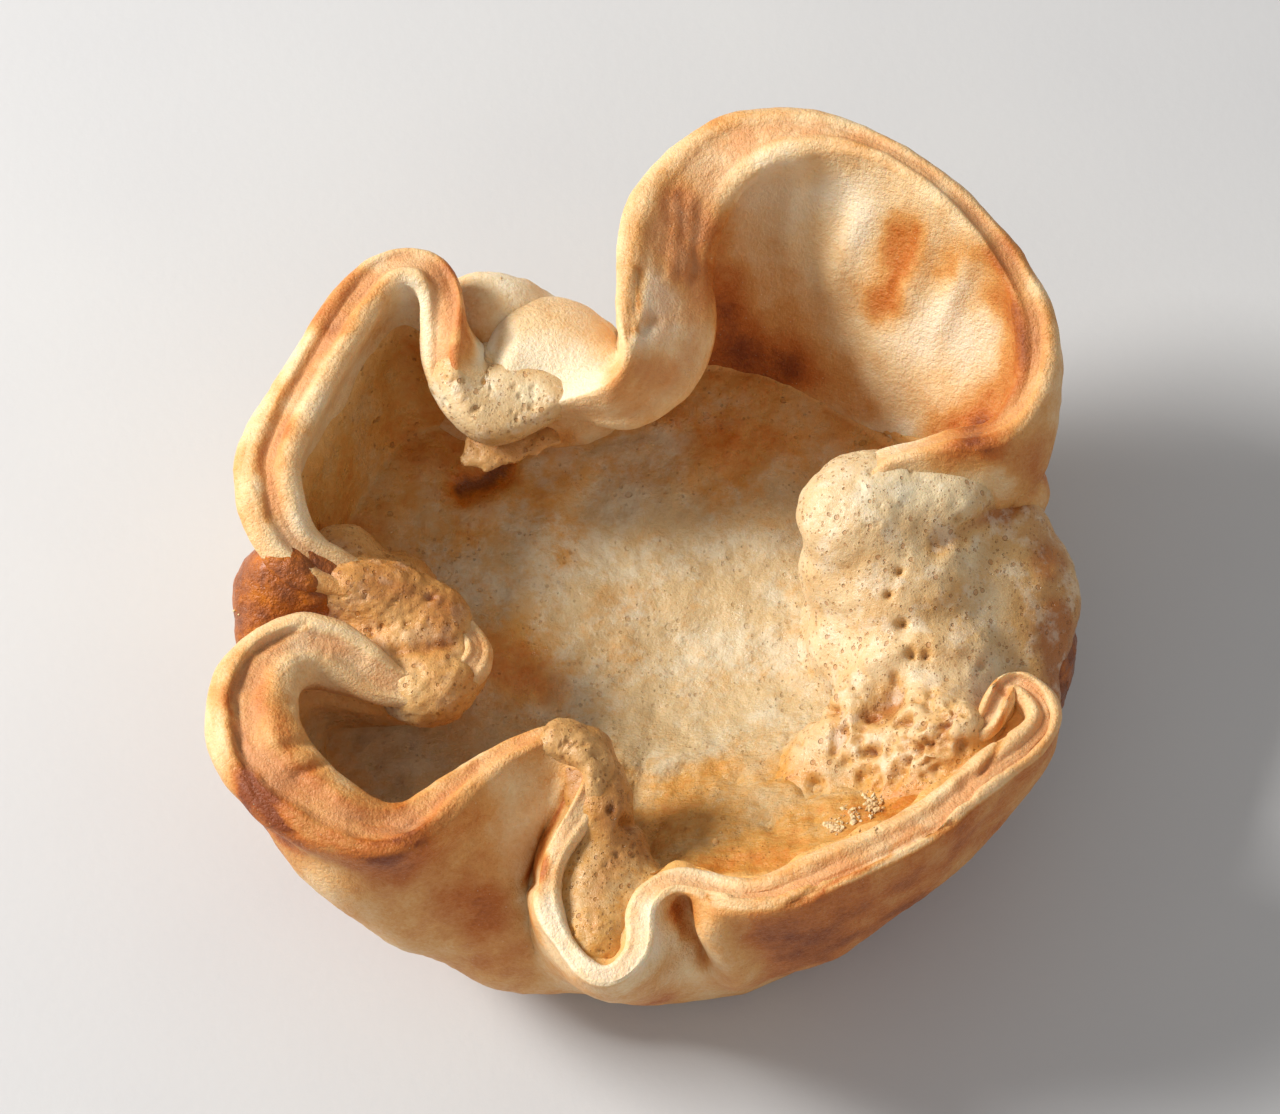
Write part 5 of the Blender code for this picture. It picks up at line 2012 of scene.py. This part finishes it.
CRUMBS = Crumbs((
    ((15.1, -9.5), 50, 0.38), ((18.1, -7.8), 60, 0.42), ((16.6, -8.7), 30, 0.5),
    ((18.4, -9.8), 5, 0.12), ((-12.7, 36.1), 3, 0.12), ((-34.8, 8.2), 3, 0.2),
    ((-34.6, 12.7), 3, 0.2), ((5.2, -10.7), 4, 0.3)))


# --- setting --------------------------------------------------------------------------------
class Studio:
    """Plain pale floor and soft light."""

    @staticmethod
    def add_floor() -> None:
        """A matt, faintly mottled floor."""
        bpy.ops.mesh.primitive_plane_add(size=3, location=(0, 0, 0))
        floor = bpy.context.object
        floor.name = "studio_floor"
        g = Graph("studio_floor")
        colour = g.ramp(g.noise(0.02), (0.3, rgb(196, 197, 200)), (0.7, rgb(201, 202, 204)))
        floor.data.materials.append(g.finish(colour, 0.7, g.bump(g.noise(1.0), 0.02), specular=0.2))

    @staticmethod
    def add_light(name: str, place: tuple, size: float, power: float, colour: tuple) -> None:
        """A square area light that looks at the tart.

        Args:
            name: name of the light.
            place: where it stands, in m.
            size: its side, in m.
            power: its power in watts.
            colour: its colour.
        """
        light = bpy.data.lights.new(name, "AREA")
        light.size = size
        light.energy = power
        light.color = colour
        obj = bpy.data.objects.new(name, light)
        obj.location = place
        way = Vector((0, 0, 0.015)) - obj.location
        obj.rotation_euler = way.to_track_quat("-Z", "Y").to_euler()
        bpy.context.scene.collection.objects.link(obj)

    def build(self) -> None:
        """Floor, lights and surrounding light."""
        self.add_floor()
        self.add_light("key", (-0.52, 0.13, 0.39), 0.2, 6.4, (1.0, 0.97, 0.92))
        self.add_light("fill", (0.25, -0.55, 0.40), 0.6, 0.5, (1.0, 0.97, 0.94))
        bpy.context.scene.view_settings.view_transform = "Standard"
        world = bpy.data.worlds.new("studio")
        world.use_nodes = True
        world.node_tree.nodes["Background"].inputs["Color"].default_value = (1.0, 0.98, 0.95, 1)
        world.node_tree.nodes["Background"].inputs["Strength"].default_value = 0.4
        bpy.context.scene.world = world


def main() -> None:
    """Builds every piece and the setting."""
    logging.basicConfig(level=logging.INFO, format="%(name)s %(message)s")
    shell, bed = PastryShell().build(), FillingBed().build()
    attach(shell, "root")
    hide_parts("pastry_shell")
    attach(bed, "root")
    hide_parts("filling")
    for obj in (shell, bed):
        LOG.info("%s: %d faces", obj.name, len(obj.data.polygons))
    ground = Ground(bed)
    for mass in (*MASSES, CRUMBS):
        obj = mass.build(ground)
        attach(obj, "root")
        pastry = mass is CRUMBS or isinstance(mass.surface.finish, PastryFinish)
        LOG.info("%s: %d faces", obj.name, len(obj.data.polygons))
    Studio().build()
    Viewpoint.add_camera()


if __name__ == "__main__":
    main()
